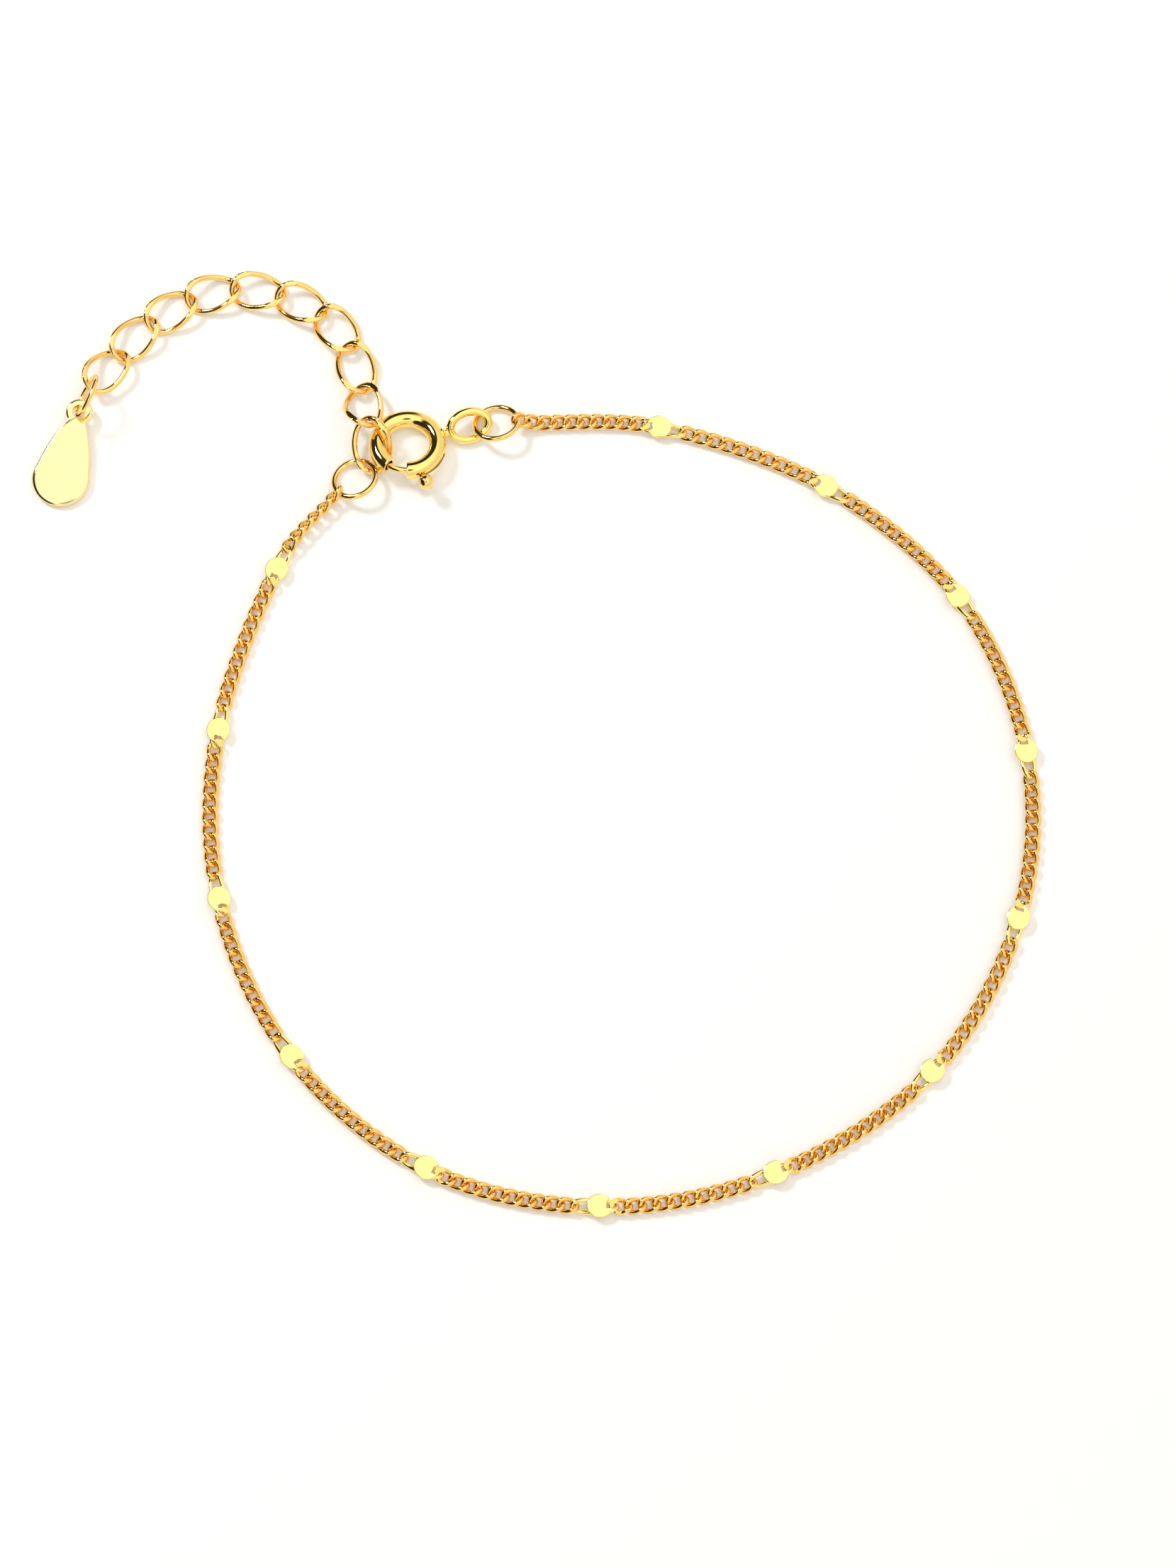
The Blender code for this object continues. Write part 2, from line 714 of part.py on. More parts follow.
def main():
    """Build the whole bracelet in one collection, under one empty at its middle."""
    clear_scene()
    parts = new_collection(OBJECT_NAME)
    cutters = new_collection("cutters")
    middle = bpy.data.objects.new("bracelet_middle", None)
    middle.location = (-FRAME_CENTRE[0], -FRAME_CENTRE[1], 0.0)
    parts.objects.link(middle)
    build_curb_runs(parts, middle)
    build_disc_links(parts, cutters, middle)
    build_extender(parts, middle)
    build_jump_rings(parts, middle)
    build_clasp_ring(parts, cutters, middle)
    build_clasp_gate(parts, cutters, middle)
    build_tag(parts, cutters, middle)
    bpy.context.view_layer.update()


main()
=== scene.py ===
"""Dresses the link bracelet: fine gold-plated curb chain with pressed disc stations and a spring ring clasp.

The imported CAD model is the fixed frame. Every piece built here lies where its solid lies: the
curb links are made one by one along the route that the CAD tubes follow, and the stations, the extender,
the rings, the clasp and the drop get the round wire, the pressed edges and the seams of the real ones.
Lengths are in metres, +Z is up, and the surface that the bracelet lies on is at z = 0.
"""
from __future__ import annotations

import logging
import math
import sys
from dataclasses import dataclass
from enum import Enum
from functools import cached_property
from typing import Any, Iterable, Mapping, Sequence

import bmesh
import bpy
import numpy as np
from mathutils import Euler, Matrix, Vector

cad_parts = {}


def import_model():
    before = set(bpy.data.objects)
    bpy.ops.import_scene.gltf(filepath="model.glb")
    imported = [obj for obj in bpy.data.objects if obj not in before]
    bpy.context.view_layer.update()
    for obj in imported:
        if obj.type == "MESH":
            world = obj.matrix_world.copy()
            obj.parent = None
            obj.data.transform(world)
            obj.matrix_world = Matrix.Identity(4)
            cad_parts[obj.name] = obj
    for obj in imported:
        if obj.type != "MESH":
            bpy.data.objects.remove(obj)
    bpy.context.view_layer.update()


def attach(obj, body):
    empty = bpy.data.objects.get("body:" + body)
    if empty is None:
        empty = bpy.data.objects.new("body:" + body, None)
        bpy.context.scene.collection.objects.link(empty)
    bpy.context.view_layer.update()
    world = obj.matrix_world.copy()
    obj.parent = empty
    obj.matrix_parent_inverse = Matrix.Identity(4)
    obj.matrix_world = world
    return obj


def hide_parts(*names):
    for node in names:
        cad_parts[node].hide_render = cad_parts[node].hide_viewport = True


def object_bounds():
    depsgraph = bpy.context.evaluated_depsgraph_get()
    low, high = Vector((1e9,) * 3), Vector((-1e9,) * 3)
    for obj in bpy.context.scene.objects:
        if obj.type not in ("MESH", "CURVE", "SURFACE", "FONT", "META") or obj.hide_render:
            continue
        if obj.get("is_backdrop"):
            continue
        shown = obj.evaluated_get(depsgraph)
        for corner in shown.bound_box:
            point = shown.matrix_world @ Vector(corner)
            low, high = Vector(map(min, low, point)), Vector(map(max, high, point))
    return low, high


LOG = logging.getLogger("bracelet")
MM = 0.001
FIXED = "bracelet"
GATE = "gate"

# Middle of the bracelet's outline on the drawing that the routes below are measured on, in millimetres
FRAME_CENTRE = (-3.87, 3.61)

# How the chain lies, in millimetres: its ends are moved to the jump rings that hold them
CHAIN_ROUTE = (
    (-4.8, 27.0),
    (5.4, 26.6),
    (17.2, 22.1),
    (26.5, 13.7),
    (31.0, 2.2),
    (30.1, -9.9),
    (23.8, -20.9),
    (12.9, -28.0),
    (0.9, -30.3),
    (-10.9, -27.7),
    (-20.3, -19.9),
    (-25.6, -8.7),
    (-26.0, 3.6),
    (-22.0, 15.9),
    (-17.8, 21.5),
)

# How the extender lies, in millimetres, from its clasped link to its free end
EXTENDER_ROUTE = (
    (-15.4, 24.9),
    (-16.07, 27.9),
    (-16.6, 30.9),
    (-18.0, 33.9),
    (-20.5, 35.9),
    (-23.6, 36.9),
    (-26.9, 36.8),
    (-30.0, 35.4),
    (-32.6, 33.3),
    (-34.7, 30.5),
    (-36.2, 28.0),
)

# Curb links in each run of the chain, and how far the run lies drawn in (-) or drawn out (+)
RUNS = (
    (10, -0.40 * MM),
    (10, 0.30 * MM),
    (10, 0.05 * MM),
    (10, 0.05 * MM),
    (10, -0.15 * MM),
    (10, 0.25 * MM),
    (11, -0.30 * MM),
    (10, -0.05 * MM),
    (10, -0.15 * MM),
    (10, -0.10 * MM),
    (10, 0.10 * MM),
    (10, -0.05 * MM),
    (10, 0.20 * MM),
    (6, -0.15 * MM),
)


class Ends(Enum):
    """How a swept wire ends."""

    CLOSED = "closed into a ring"
    FLAT = "cut square"
    DOMED = "rounded over"


def linear(colour: str) -> tuple[float, float, float, float]:
    """Turn an sRGB hex colour into linear light.

    Args:
        colour: A colour such as "#FFD86B".

    Returns:
        Red, green, blue and alpha.
    """
    parts = [int(colour[start : start + 2], 16) / 255.0 for start in (1, 3, 5)]
    light = [part / 12.92 if part <= 0.04045 else ((part + 0.055) / 1.055) ** 2.4 for part in parts]
    return light[0], light[1], light[2], 1.0


def add_node(
    tree: bpy.types.NodeTree, kind: str, feeds: Mapping[str | int, Any] | None = None, **settings: Any
) -> bpy.types.Node:
    """Add a node with its settings and with what goes into its sockets.

    Args:
        tree: The material's or the geometry's node tree.
        kind: The node's type.
        feeds: By socket name or number a value, a socket to link, or a node whose first output is linked.
        **settings: The node's own properties.

    Returns:
        The new node.
    """
    node = tree.nodes.new(kind)
    for name, value in settings.items():
        setattr(node, name, value)
    for key, source in (feeds or {}).items():
        if isinstance(source, bpy.types.Node):
            tree.links.new(source.outputs[0], node.inputs[key])
        elif isinstance(source, bpy.types.NodeSocket):
            tree.links.new(source, node.inputs[key])
        else:
            node.inputs[key].default_value = source
    return node


@dataclass(frozen=True)
class GoldFinish:
    """Yellow gold plating over silver: bright, with faint polishing marks and a slightly uneven tint.

    Attributes:
        name: The material's name, which says how the surface was made.
        slot: The CAD record's material slot that it stands for; not used.
        colour: The plating's colour where light falls straight on it.
        tint: The deeper colour of thicker plating.
        roughness: The polish, from 0 for a mirror.
        grain_mm: Spacing of the polishing marks.
        relief_mm: Height of the polishing marks.
    """

    name: str
    slot: str
    colour: str
    tint: str
    roughness: float
    grain_mm: float
    relief_mm: float

    def material(self) -> bpy.types.Material:
        """Build the finish, or give the one already built.

        Returns:
            The material.
        """
        found = bpy.data.materials.get(self.name)
        if found is not None:
            return found
        made = bpy.data.materials.new(self.name)
        made.use_nodes = True
        tree = made.node_tree
        tree.nodes.clear()
        place = add_node(tree, "ShaderNodeTexCoord").outputs["Object"]
        # Plating gathers in some places: cloudy patches a few millimetres across
        cloud = add_node(
            tree, "ShaderNodeTexNoise", {"Scale": 1.0 / (2.5 * MM), "Detail": 2.0, "Vector": place}
        )
        colour = add_node(
            tree,
            "ShaderNodeMix",
            {6: linear(self.colour), 7: linear(self.tint), 0: cloud.outputs["Fac"]},
            data_type="RGBA",
        )
        # Polishing marks: fine lines, drawn a little coarser than real ones so that they still show
        lines = add_node(
            tree,
            "ShaderNodeMapping",
            {"Scale": (1.0, 0.18, 1.0), "Rotation": (0.0, 0.0, math.radians(32.0)), "Vector": place},
        )
        marks = add_node(
            tree,
            "ShaderNodeTexNoise",
            {"Scale": 1.0 / (self.grain_mm * MM), "Detail": 3.0, "Vector": lines.outputs["Vector"]},
        )
        polish = add_node(
            tree,
            "ShaderNodeMapRange",
            {1: 0.3, 2: 0.7, 3: 0.75 * self.roughness, 4: 1.35 * self.roughness, 0: marks.outputs["Fac"]},
        )
        relief = add_node(
            tree,
            "ShaderNodeBump",
            {"Strength": 1.0, "Distance": self.relief_mm * MM, "Height": marks.outputs["Fac"]},
        )
        shader = add_node(
            tree,
            "ShaderNodeBsdfPrincipled",
            {
                "Metallic": 1.0,
                "Base Color": colour.outputs[2],
                "Roughness": polish.outputs["Result"],
                "Normal": relief.outputs["Normal"],
            },
        )
        add_node(tree, "ShaderNodeOutputMaterial", {"Surface": shader.outputs["BSDF"]})
        return made


# Machine-made curb chain, tumbled bright: deep yellow, soft highlights that break from link to link
TUMBLED_CHAIN = GoldFinish("gold_plated_tumbled_wire", "chain_gold", "#FFD684", "#FCCB70", 0.11, 0.10, 0.0006)
# Discs pressed between polished dies: a flat mirror with crisp edges, the brightest spots of the chain
# Painted highlight: its base colour is paler than the chain's, though both are one plating
PRESSED_DISC_PAINTED_HIGHLIGHT = GoldFinish(
    "gold_plated_pressed_mirror", "disc_gold", "#FFE79C", "#FFE493", 0.05, 0.16, 0.0002
)
# Drawn wire, bent and planed: long clean streaks of light with dark lines where the facets turn away
EXTENDER_WIRE = GoldFinish(
    "gold_plated_drawn_wire", "extender_gold", "#FFDB8F", "#FBCE7C", 0.10, 0.12, 0.0006
)
# Round drawn wire of the rings: one thin bright line round each ring and a deep line beside it
RING_WIRE = GoldFinish("gold_plated_ring_wire", "jump_ring_gold", "#FFDB8C", "#FBCF7C", 0.10, 0.12, 0.0006)
# Tube polished on a wheel: near-mirror bands of light and dark that run round the clasp
SPRING_RING = GoldFinish("gold_plated_polished_tube", "clasp_gold", "#FFE48C", "#FFDC7E", 0.06, 0.16, 0.0004)
# Spring wire that slides in the tube: the same colour, a little duller from rubbing
SPRING_GATE = GoldFinish("gold_plated_spring_wire", "gate_gold", "#FFDD8E", "#FCD384", 0.08, 0.14, 0.0005)
# Sheet cut out and polished flat: one calm pale face with a dark and a bright line along its rounded rim
TAG_SHEET = GoldFinish("gold_plated_polished_sheet", "tag_gold", "#FDE7AE", "#FCE3A4", 0.08, 0.18, 0.0003)


class Path:
    """A smooth curve through chosen points, measured along its length."""

    def __init__(self, points: np.ndarray, samples: int = 48) -> None:
        """Draw the curve.

        Args:
            points: The chosen points, one row each.
            samples: Steps between two chosen points.
        """
        ends = np.vstack([2 * points[0] - points[1], points, 2 * points[-1] - points[-2]])
        pieces = []
        for before, start, end, after in zip(ends, ends[1:], ends[2:], ends[3:]):
            share = np.linspace(0.0, 1.0, samples, endpoint=False)[:, None]
            pieces.append(
                0.5
                * (
                    2 * start
                    + (end - before) * share
                    + (2 * before - 5 * start + 4 * end - after) * share**2
                    + (3 * start - before - 3 * end + after) * share**3
                )
            )
        self.points = np.vstack(pieces + [points[-1:]])
        steps = np.linalg.norm(np.diff(self.points, axis=0), axis=1)
        self.along = np.concatenate([[0.0], np.cumsum(steps)])

    @property
    def length(self) -> float:
        """The curve's length."""
        return float(self.along[-1])

    def at(self, distance: float) -> np.ndarray:
        """The point at a distance from the start."""
        return np.array([np.interp(distance, self.along, self.points[:, axis]) for axis in range(2)])


@dataclass(frozen=True)
class CurbLink:
    """Sizes of the small curb links, along their wire's middle line."""

    wire: float = 0.34 * MM
    half_length: float = 0.67 * MM
    half_width: float = 0.43 * MM
    twist: float = 0.19 * MM
    slack: float = 0.025 * MM

    @property
    def pitch(self) -> float:
        """From link to link along the chain."""
        return 2.0 * self.half_length - self.wire - self.slack


@dataclass(frozen=True)
class ExtenderLink:
    """Sizes of the extender's oval links, along their wire's middle line."""

    wire: float = 0.42 * MM
    half_length: float = 1.92 * MM
    half_width: float = 1.27 * MM
    twist: float = 0.36 * MM
    slack: float = 0.12 * MM
    count: int = 10

    @property
    def pitch(self) -> float:
        """From link to link along the extender."""
        return 2.0 * self.half_length - self.wire - self.slack


@dataclass(frozen=True)
class ClaspSizes:
    """Sizes of the spring ring: radii are those of the tube's middle line and of its section."""

    radius: float = 2.15 * MM
    tube: float = 0.60 * MM
    wall: float = 0.20 * MM
    gate_wire: float = 0.50 * MM
    knob_gap: float = 0.06 * MM
    stem_wire: float = 0.28 * MM
    slot_width: float = 0.50 * MM
    mouth_start: float = -127.0
    mouth_end: float = -90.0
    gate_opening: float = 45.0
    gate_tip_entry: float = 9.0
    gate_tail: float = -36.0
    knob_angle: float = -66.0
    neck_angle: float = 20.0
    neck_length: float = 0.35 * MM
    neck_wire: float = 0.50 * MM
    eye_wire: float = 0.55 * MM
    eye_half_length: float = 1.34 * MM
    eye_half_width: float = 0.98 * MM
    eye_twist: float = 33.0
    tilt: float = -11.0

    @property
    def eye_distance(self) -> float:
        """From the ring's centre to its eye's centre."""
        return self.radius + self.tube + self.neck_length + 0.5 * self.eye_wire + self.eye_half_length


@dataclass(frozen=True)
class RingSizes:
    """Sizes of a round ring of wire."""

    wire: float
    radius: float


JUMP_RING = RingSizes(0.42 * MM, 1.55 * MM)
TAG_RING = RingSizes(0.38 * MM, 1.50 * MM)
CURB = CurbLink()
OVAL = ExtenderLink()
CLASP = ClaspSizes()


def oval_points(half_length: float, half_width: float, twist: float, steps: int) -> np.ndarray:
    """Middle line of a link: an oval whose four corners rise and fall in turn.

    Args:
        half_length: Half the oval along X.
        half_width: Half the oval along Y.
        twist: How far the corners rise and fall.
        steps: Number of points.

    Returns:
        The points, one row each.
    """
    turns = np.linspace(0.0, 2.0 * math.pi, steps, endpoint=False)
    return np.stack(
        [half_length * np.cos(turns), half_width * np.sin(turns), -twist * np.sin(2.0 * turns)], axis=1
    )


def arc_points(radius: float, start: float, end: float, steps: int) -> np.ndarray:
    """Points of an arc in the XY plane.

    Args:
        radius: The arc's radius.
        start: First angle in degrees.
        end: Last angle in degrees.
        steps: Number of steps between them.

    Returns:
        The points, one row each.
    """
    angles = np.radians(np.linspace(start, end, steps + 1))
    return np.stack([radius * np.cos(angles), radius * np.sin(angles), np.zeros(steps + 1)], axis=1)


def lying(
    points: np.ndarray, radius: float, place: Sequence[float], turn: Sequence[float], lift: float = 0.0
) -> Matrix:
    """Where a piece rests, with its lowest point on the surface.

    Args:
        points: The middle line of the piece's wire.
        radius: The wire's radius.
        place: X and Y of the piece's middle.
        turn: Yaw, pitch and roll in degrees; a positive pitch raises the end at +X.
        lift: How far it is held off the surface.

    Returns:
        The piece's frame.
    """
    yaw, pitch, roll = (math.radians(angle) for angle in turn)
    facing = Matrix.Rotation(yaw, 3, "Z") @ Matrix.Rotation(-pitch, 3, "Y") @ Matrix.Rotation(roll, 3, "X")
    lowest = min((facing @ Vector(point)).z for point in points)
    return Matrix.Translation((place[0], place[1], radius + lift - lowest)) @ facing.to_4x4()


class Lay:
    """How the bracelet lies on the surface: the place of every piece, as in the CAD model."""

    station_pitch: float = 2.70 * MM
    station_twist: float = 0.16 * MM
    chain_climb: float = 2.2 * MM
    roll_length: float = 8.0 * MM
    end_roll: float = 56.0
    link_gap: float = 0.06 * MM
    clasp_place: tuple[float, float] = (-12.88, 25.0)
    eye_jump_turn: tuple[float, float] = (-24.0, -8.0)
    hook_jump_turn: tuple[float, float] = (-15.6, -14.9)
    hook_jump_bearing: float = 207.0
    hooked_gap: float = 0.08 * MM
    hooked_shift: float = 0.065 * MM
    hooked_ease: float = 0.045 * MM
    # Bearing, pitch and roll in degrees of the links that don't lie flat, counted from the clasped one
    raised_links: dict[int, tuple[float, float, float]] = {
        0: (96.0, 24.8, -6.0),
        1: (97.0, -24.1, -1.5),
        9: (-128.0, 13.5, -0.9),
    }
    tag_ring_bearing: float = 71.0
    tag_ring_lean: float = 22.0
    tag_bearing: float = -104.0
    tag_thickness: float = 0.50 * MM
    tag_length: float = 7.10 * MM

    @staticmethod
    def on_surface(points: Iterable[Sequence[float]]) -> np.ndarray:
        """Points of the drawing, in metres from the bracelet's middle."""
        return (np.array(points, dtype=float) - np.array(FRAME_CENTRE)) * MM

    @cached_property
    def clasp(self) -> Matrix:
        """Place and tilt of the spring ring, whose far side rests on the surface.

        Returns:
            The spring ring's frame, with its axis along Z.
        """
        tilt = math.radians(CLASP.tilt)
        x, y = self.on_surface([self.clasp_place])[0]
        height = CLASP.tube + CLASP.radius * math.sin(-tilt)
        return Matrix.Translation((x, y, height)) @ Matrix.Rotation(tilt, 4, "X")

    @cached_property
    def extender(self) -> list[Matrix]:
        """Where each extender link lies, from the free end's link to the clasped one.

        Returns:
            One frame for each link, with the link's length along X and its flat side facing Z.
        """
        place = self.clasp.translation
        wall = place.x - CLASP.radius + CLASP.tube
        hooked = np.array(
            [wall + 0.5 * OVAL.wire + self.hooked_gap - OVAL.half_width, place.y - self.hooked_shift]
        )
        route = self.on_surface(EXTENDER_ROUTE)
        path = Path(route + (hooked - route[0]))
        shape = oval_points(OVAL.half_length, OVAL.half_width, OVAL.twist, 72)
        frames = []
        here = 0.0
        for index in range(OVAL.count):
            pitch = self.raised_links.get(index, (0.0, 0.0, 0.0))[1]
            length = OVAL.pitch * math.cos(math.radians(pitch))
            here += 0.5 * length if index else 0.0
            ahead = path.at(here + 0.5 * length) - path.at(here - 0.5 * length)
            bearing = math.degrees(math.atan2(ahead[1], ahead[0]))
            turn = self.raised_links.get(index, (bearing, 0.0, 0.0))
            frames.append(lying(shape, 0.5 * OVAL.wire, path.at(here), turn))
            here += 0.5 * length + (self.hooked_ease if index == 0 else 0.0)
        return frames[::-1]

    def leaning_ring(self, x: float, y: float, turn: tuple[float, float]) -> Matrix:
        """A jump ring that leans on the surface.

        Args:
            x: Place of its middle.
            y: Place of its middle.
            turn: Turns about X, then Y, in degrees.

        Returns:
            The ring's frame.
        """
        facing = Euler((0.0, math.radians(turn[1]), 0.0)).to_matrix()
        facing = Matrix.Rotation(math.radians(turn[0]), 3, "X") @ facing
        ring = oval_points(JUMP_RING.radius, JUMP_RING.radius, 0.0, 72)
        lowest = min((facing @ Vector(point)).z for point in ring)
        return Matrix.Translation((x, y, 0.5 * JUMP_RING.wire - lowest)) @ facing.to_4x4()

    @cached_property
    def right_ring(self) -> Matrix:
        """The jump ring that the clasp's eye pulls on.

        Returns:
            The ring's frame.
        """
        reach = CLASP.eye_distance + CLASP.eye_half_length - self.link_gap
        reach -= 0.5 * (CLASP.eye_wire + JUMP_RING.wire)
        turn = math.radians(CLASP.neck_angle)
        far_end = self.clasp @ Vector((reach * math.cos(turn), reach * math.sin(turn), 0.0))
        return self.leaning_ring(
            far_end.x + JUMP_RING.radius - 0.40 * MM, far_end.y - 0.15 * MM, self.eye_jump_turn
        )

    @cached_property
    def left_ring(self) -> Matrix:
        """The jump ring that the clasped extender link hangs on.

        Returns:
            The ring's frame.
        """
        near_end = self.extender[-1] @ Vector((-OVAL.half_length, 0.0, 0.0))
        away = math.radians(self.hook_jump_bearing)
        return self.leaning_ring(
            near_end.x + JUMP_RING.radius * math.cos(away),
            near_end.y + JUMP_RING.radius * math.sin(away),
            self.hook_jump_turn,
        )

    @cached_property
    def chain_ends(self) -> tuple[Vector, Vector]:
        """The points on the two jump rings' middle lines that the chain's end links pass round.

        Returns:
            The point on the right ring, where the chain starts, and the one on the left ring.
        """
        radius = JUMP_RING.radius
        turn = math.radians(215.0)
        right = self.right_ring @ Vector((radius, 0.10 * radius, 0.0))
        left = self.left_ring @ Vector((radius * math.cos(turn), radius * math.sin(turn), 0.0))
        return right, left

    @cached_property
    def cells(self) -> tuple[list[tuple[float, float]], list[float], float]:
        """Where the runs and the stations' middles lie along the chain, and the chain's length.

        Returns:
            Start and end of each run, the middle of each station, and the chain's length.
        """
        start = CURB.half_length - 0.5 * (CURB.wire + JUMP_RING.wire) - 0.5 * CURB.pitch
        here = start
        runs, stations = [], []
        for index, (links, ease) in enumerate(RUNS):
            length = links * CURB.pitch + ease
            runs.append((here, here + length))
            here += length
            if index < len(RUNS) - 1:
                stations.append(here + 0.5 * self.station_pitch)
                here += self.station_pitch
        return runs, stations, here + start

    @cached_property
    def chain(self) -> Path:
        """The chain's middle line, opened or drawn in until it has the chain's length.

        Returns:
            The curve from the right ring to the left one.
        """
        right, left = self.chain_ends
        points = self.on_surface(CHAIN_ROUTE)
        share = np.linspace(0.0, 1.0, len(points))[:, None] ** 4
        first_move, last_move = np.array(right.xy) - points[0], np.array(left.xy) - points[-1]
        points = points + first_move * (1.0 - share) ** 4 + last_move * share
        middle = points.mean(axis=0)
        reach = np.sin(np.linspace(0.0, math.pi, len(points)))[:, None]
        low, high = -0.5, 1.0
        for _ in range(40):
            grow = 0.5 * (low + high)
            path = Path(points + (points - middle) * reach * grow)
            if path.length < self.cells[2]:
                low = grow
            else:
                high = grow
        return path

    def chain_point(self, distance: float) -> np.ndarray:
        """A point on the chain's middle line, which climbs to the jump ring at each end.

        Args:
            distance: Distance along the chain from its first jump ring.

        Returns:
            X, Y and Z.
        """
        right, left = self.chain_ends
        roll = self.chain_roll(distance)
        base = 0.5 * CURB.wire + CURB.twist * math.cos(roll) + 0.95 * CURB.half_width * math.sin(roll)
        near_right = max(0.0, 1.0 - distance / self.chain_climb) ** 2
        near_left = max(0.0, 1.0 - (self.cells[2] - distance) / self.chain_climb) ** 2
        height = base + (right.z - base) * near_right + max(0.0, left.z - base) * near_left
        return np.array([*self.chain.at(distance), height])

    def chain_roll(self, distance: float) -> float:
        """How far the links are rolled towards their edge, in radians: the ones before the left ring are."""
        share = 1.0 - (self.cells[2] - distance) / self.roll_length
        return math.radians(self.end_roll) * min(1.0, 1.6 * max(0.0, share))

    def chain_up(self, distance: float) -> np.ndarray:
        """The direction that the flat side of the chain's links faces.

        Args:
            distance: Distance along the chain from its first jump ring.

        Returns:
            A unit vector.
        """
        roll = self.chain_roll(distance)
        step = self.chain.at(distance + 0.1 * MM) - self.chain.at(distance - 0.1 * MM)
        aside = np.array([-step[1], step[0]]) / np.linalg.norm(step)
        return np.array([*(aside * math.sin(roll)), math.cos(roll)])

    @cached_property
    def tag_ring(self) -> Matrix:
        """The tag ring stands almost upright on its edge.

        Returns:
            The ring's frame.
        """
        heading = self.extender[0] @ Vector((OVAL.half_length + 0.70 * MM, 0.39 * MM, 0.0))
        bearing = math.radians(self.tag_ring_bearing)
        lean = math.radians(self.tag_ring_lean)
        across = Vector((math.cos(bearing), math.sin(bearing), 0.0))
        aside = Vector((math.sin(bearing), -math.cos(bearing), 0.0))
        upward = math.cos(lean) * Vector((0.0, 0.0, 1.0)) + math.sin(lean) * aside
        facing = Matrix((across, upward, across.cross(upward))).transposed()
        height = 0.5 * TAG_RING.wire + TAG_RING.radius * math.cos(lean)
        return Matrix.Translation((heading.x, heading.y, height)) @ facing.to_4x4()

    @cached_property
    def tag(self) -> Matrix:
        """The drop lies with its eye held up by the tag ring and its round end on the surface.

        Returns:
            The drop's frame, with its eye at the origin and its round end along +X.
        """
        ring = self.tag_ring.translation
        eye_height = 0.5 * self.tag_thickness + TAG_RING.wire + self.link_gap + 0.16 * MM
        drop = math.asin((eye_height - 0.5 * self.tag_thickness) / self.tag_length)
        return (
            Matrix.Translation((ring.x - 0.56 * MM, ring.y - 0.667 * TAG_RING.radius, eye_height))
            @ Matrix.Rotation(math.radians(self.tag_bearing), 4, "Z")
            @ Matrix.Rotation(drop, 4, "Y")
        )


def shade(mesh: bpy.types.Mesh, angle: float = 38.0) -> None:
    """Shade a mesh smooth, with the edges sharper than an angle in degrees kept."""
    mesh.shade_smooth()
    mesh.set_sharp_from_angle(angle=math.radians(angle))


def new_object(name: str, mesh: bpy.types.Mesh) -> bpy.types.Object:
    """Put a mesh into the scene at the origin.

    Args:
        name: The object's name.
        mesh: Its mesh.

    Returns:
        The new object.
    """
    made = bpy.data.objects.new(name, mesh)
    bpy.context.scene.collection.objects.link(made)
    return made


def solid(name: str, cage: bmesh.types.BMesh) -> bpy.types.Object:
    """Turn a finished cage into an object whose faces point outwards.

    Args:
        name: The object's name.
        cage: The finished cage, which is freed.

    Returns:
        The new object.
    """
    bmesh.ops.recalc_face_normals(cage, faces=cage.faces)
    mesh = bpy.data.meshes.new(name)
    cage.to_mesh(mesh)
    cage.free()
    shade(mesh)
    return new_object(name, mesh)


def sweep(
    name: str, points: np.ndarray, radius: float | np.ndarray, sides: int, ends: Ends = Ends.CLOSED
) -> bpy.types.Object:
    """Sweep a round wire along a flat line of points.

    Args:
        name: Name of the new object.
        points: The wire's middle line.
        radius: The wire's radius, or one radius for each point.
        sides: Facets round the wire.
        ends: How the wire ends.

    Returns:
        The new object.
    """
    radii = np.full(len(points), radius) if np.isscalar(radius) else np.asarray(radius, dtype=float)
    if ends is Ends.DOMED:
        rise = np.radians([15.0, 40.0, 65.0])
        first, last = points[0] - points[1], points[-1] - points[-2]
        first, last = first / np.linalg.norm(first), last / np.linalg.norm(last)
        start = [points[0] + first * radii[0] * math.cos(angle) for angle in rise]
        close = [points[-1] + last * radii[-1] * math.cos(angle) for angle in rise[::-1]]
        caps = [radii[0] * math.sin(angle) for angle in rise]
        points = np.vstack([start, points, close])
        radii = np.concatenate([caps, radii, [radii[-1] / radii[0] * size for size in caps[::-1]]])
    closed = ends is Ends.CLOSED
    before = np.roll(points, 1, axis=0) if closed else np.vstack([points[:1], points[:-1]])
    after = np.roll(points, -1, axis=0) if closed else np.vstack([points[1:], points[-1:]])
    tangents = after - before
    tangents /= np.linalg.norm(tangents, axis=1)[:, None]
    normal = np.array([0.0, 0.0, 1.0])
    turns = np.linspace(0.0, 2.0 * math.pi, sides, endpoint=False)
    cage = bmesh.new()
    rings = []
    for point, tangent, size in zip(points, tangents, radii):
        normal = normal - tangent * float(np.dot(normal, tangent))
        normal /= np.linalg.norm(normal)
        side = np.cross(tangent, normal)
        spokes = [math.cos(turn) * normal + math.sin(turn) * side for turn in turns]
        rings.append([cage.verts.new(point + size * spoke) for spoke in spokes])
    pairs = list(zip(rings, rings[1:])) + ([(rings[-1], rings[0])] if closed else [])
    for one, two in pairs:
        for index in range(sides):
            other = (index + 1) % sides
            cage.faces.new((one[index], one[other], two[other], two[index]))
    if not closed:
        cage.faces.new(rings[0][::-1])
        cage.faces.new(rings[-1])
    return solid(name, cage)


def baked(item: bpy.types.Object, name: str) -> bpy.types.Object:
    """Turn an object and its modifiers into a plain mesh object, and remove the first one.

    Args:
        item: The object with its modifiers.
        name: Name of the plain object.

    Returns:
        The plain object.
    """
    bpy.context.view_layer.update()
    evaluated = item.evaluated_get(bpy.context.evaluated_depsgraph_get())
    mesh = bpy.data.meshes.new_from_object(evaluated)
    mesh.transform(item.matrix_world)
    bpy.data.objects.remove(item, do_unlink=True)
    mesh.name = name
    return new_object(name, mesh)


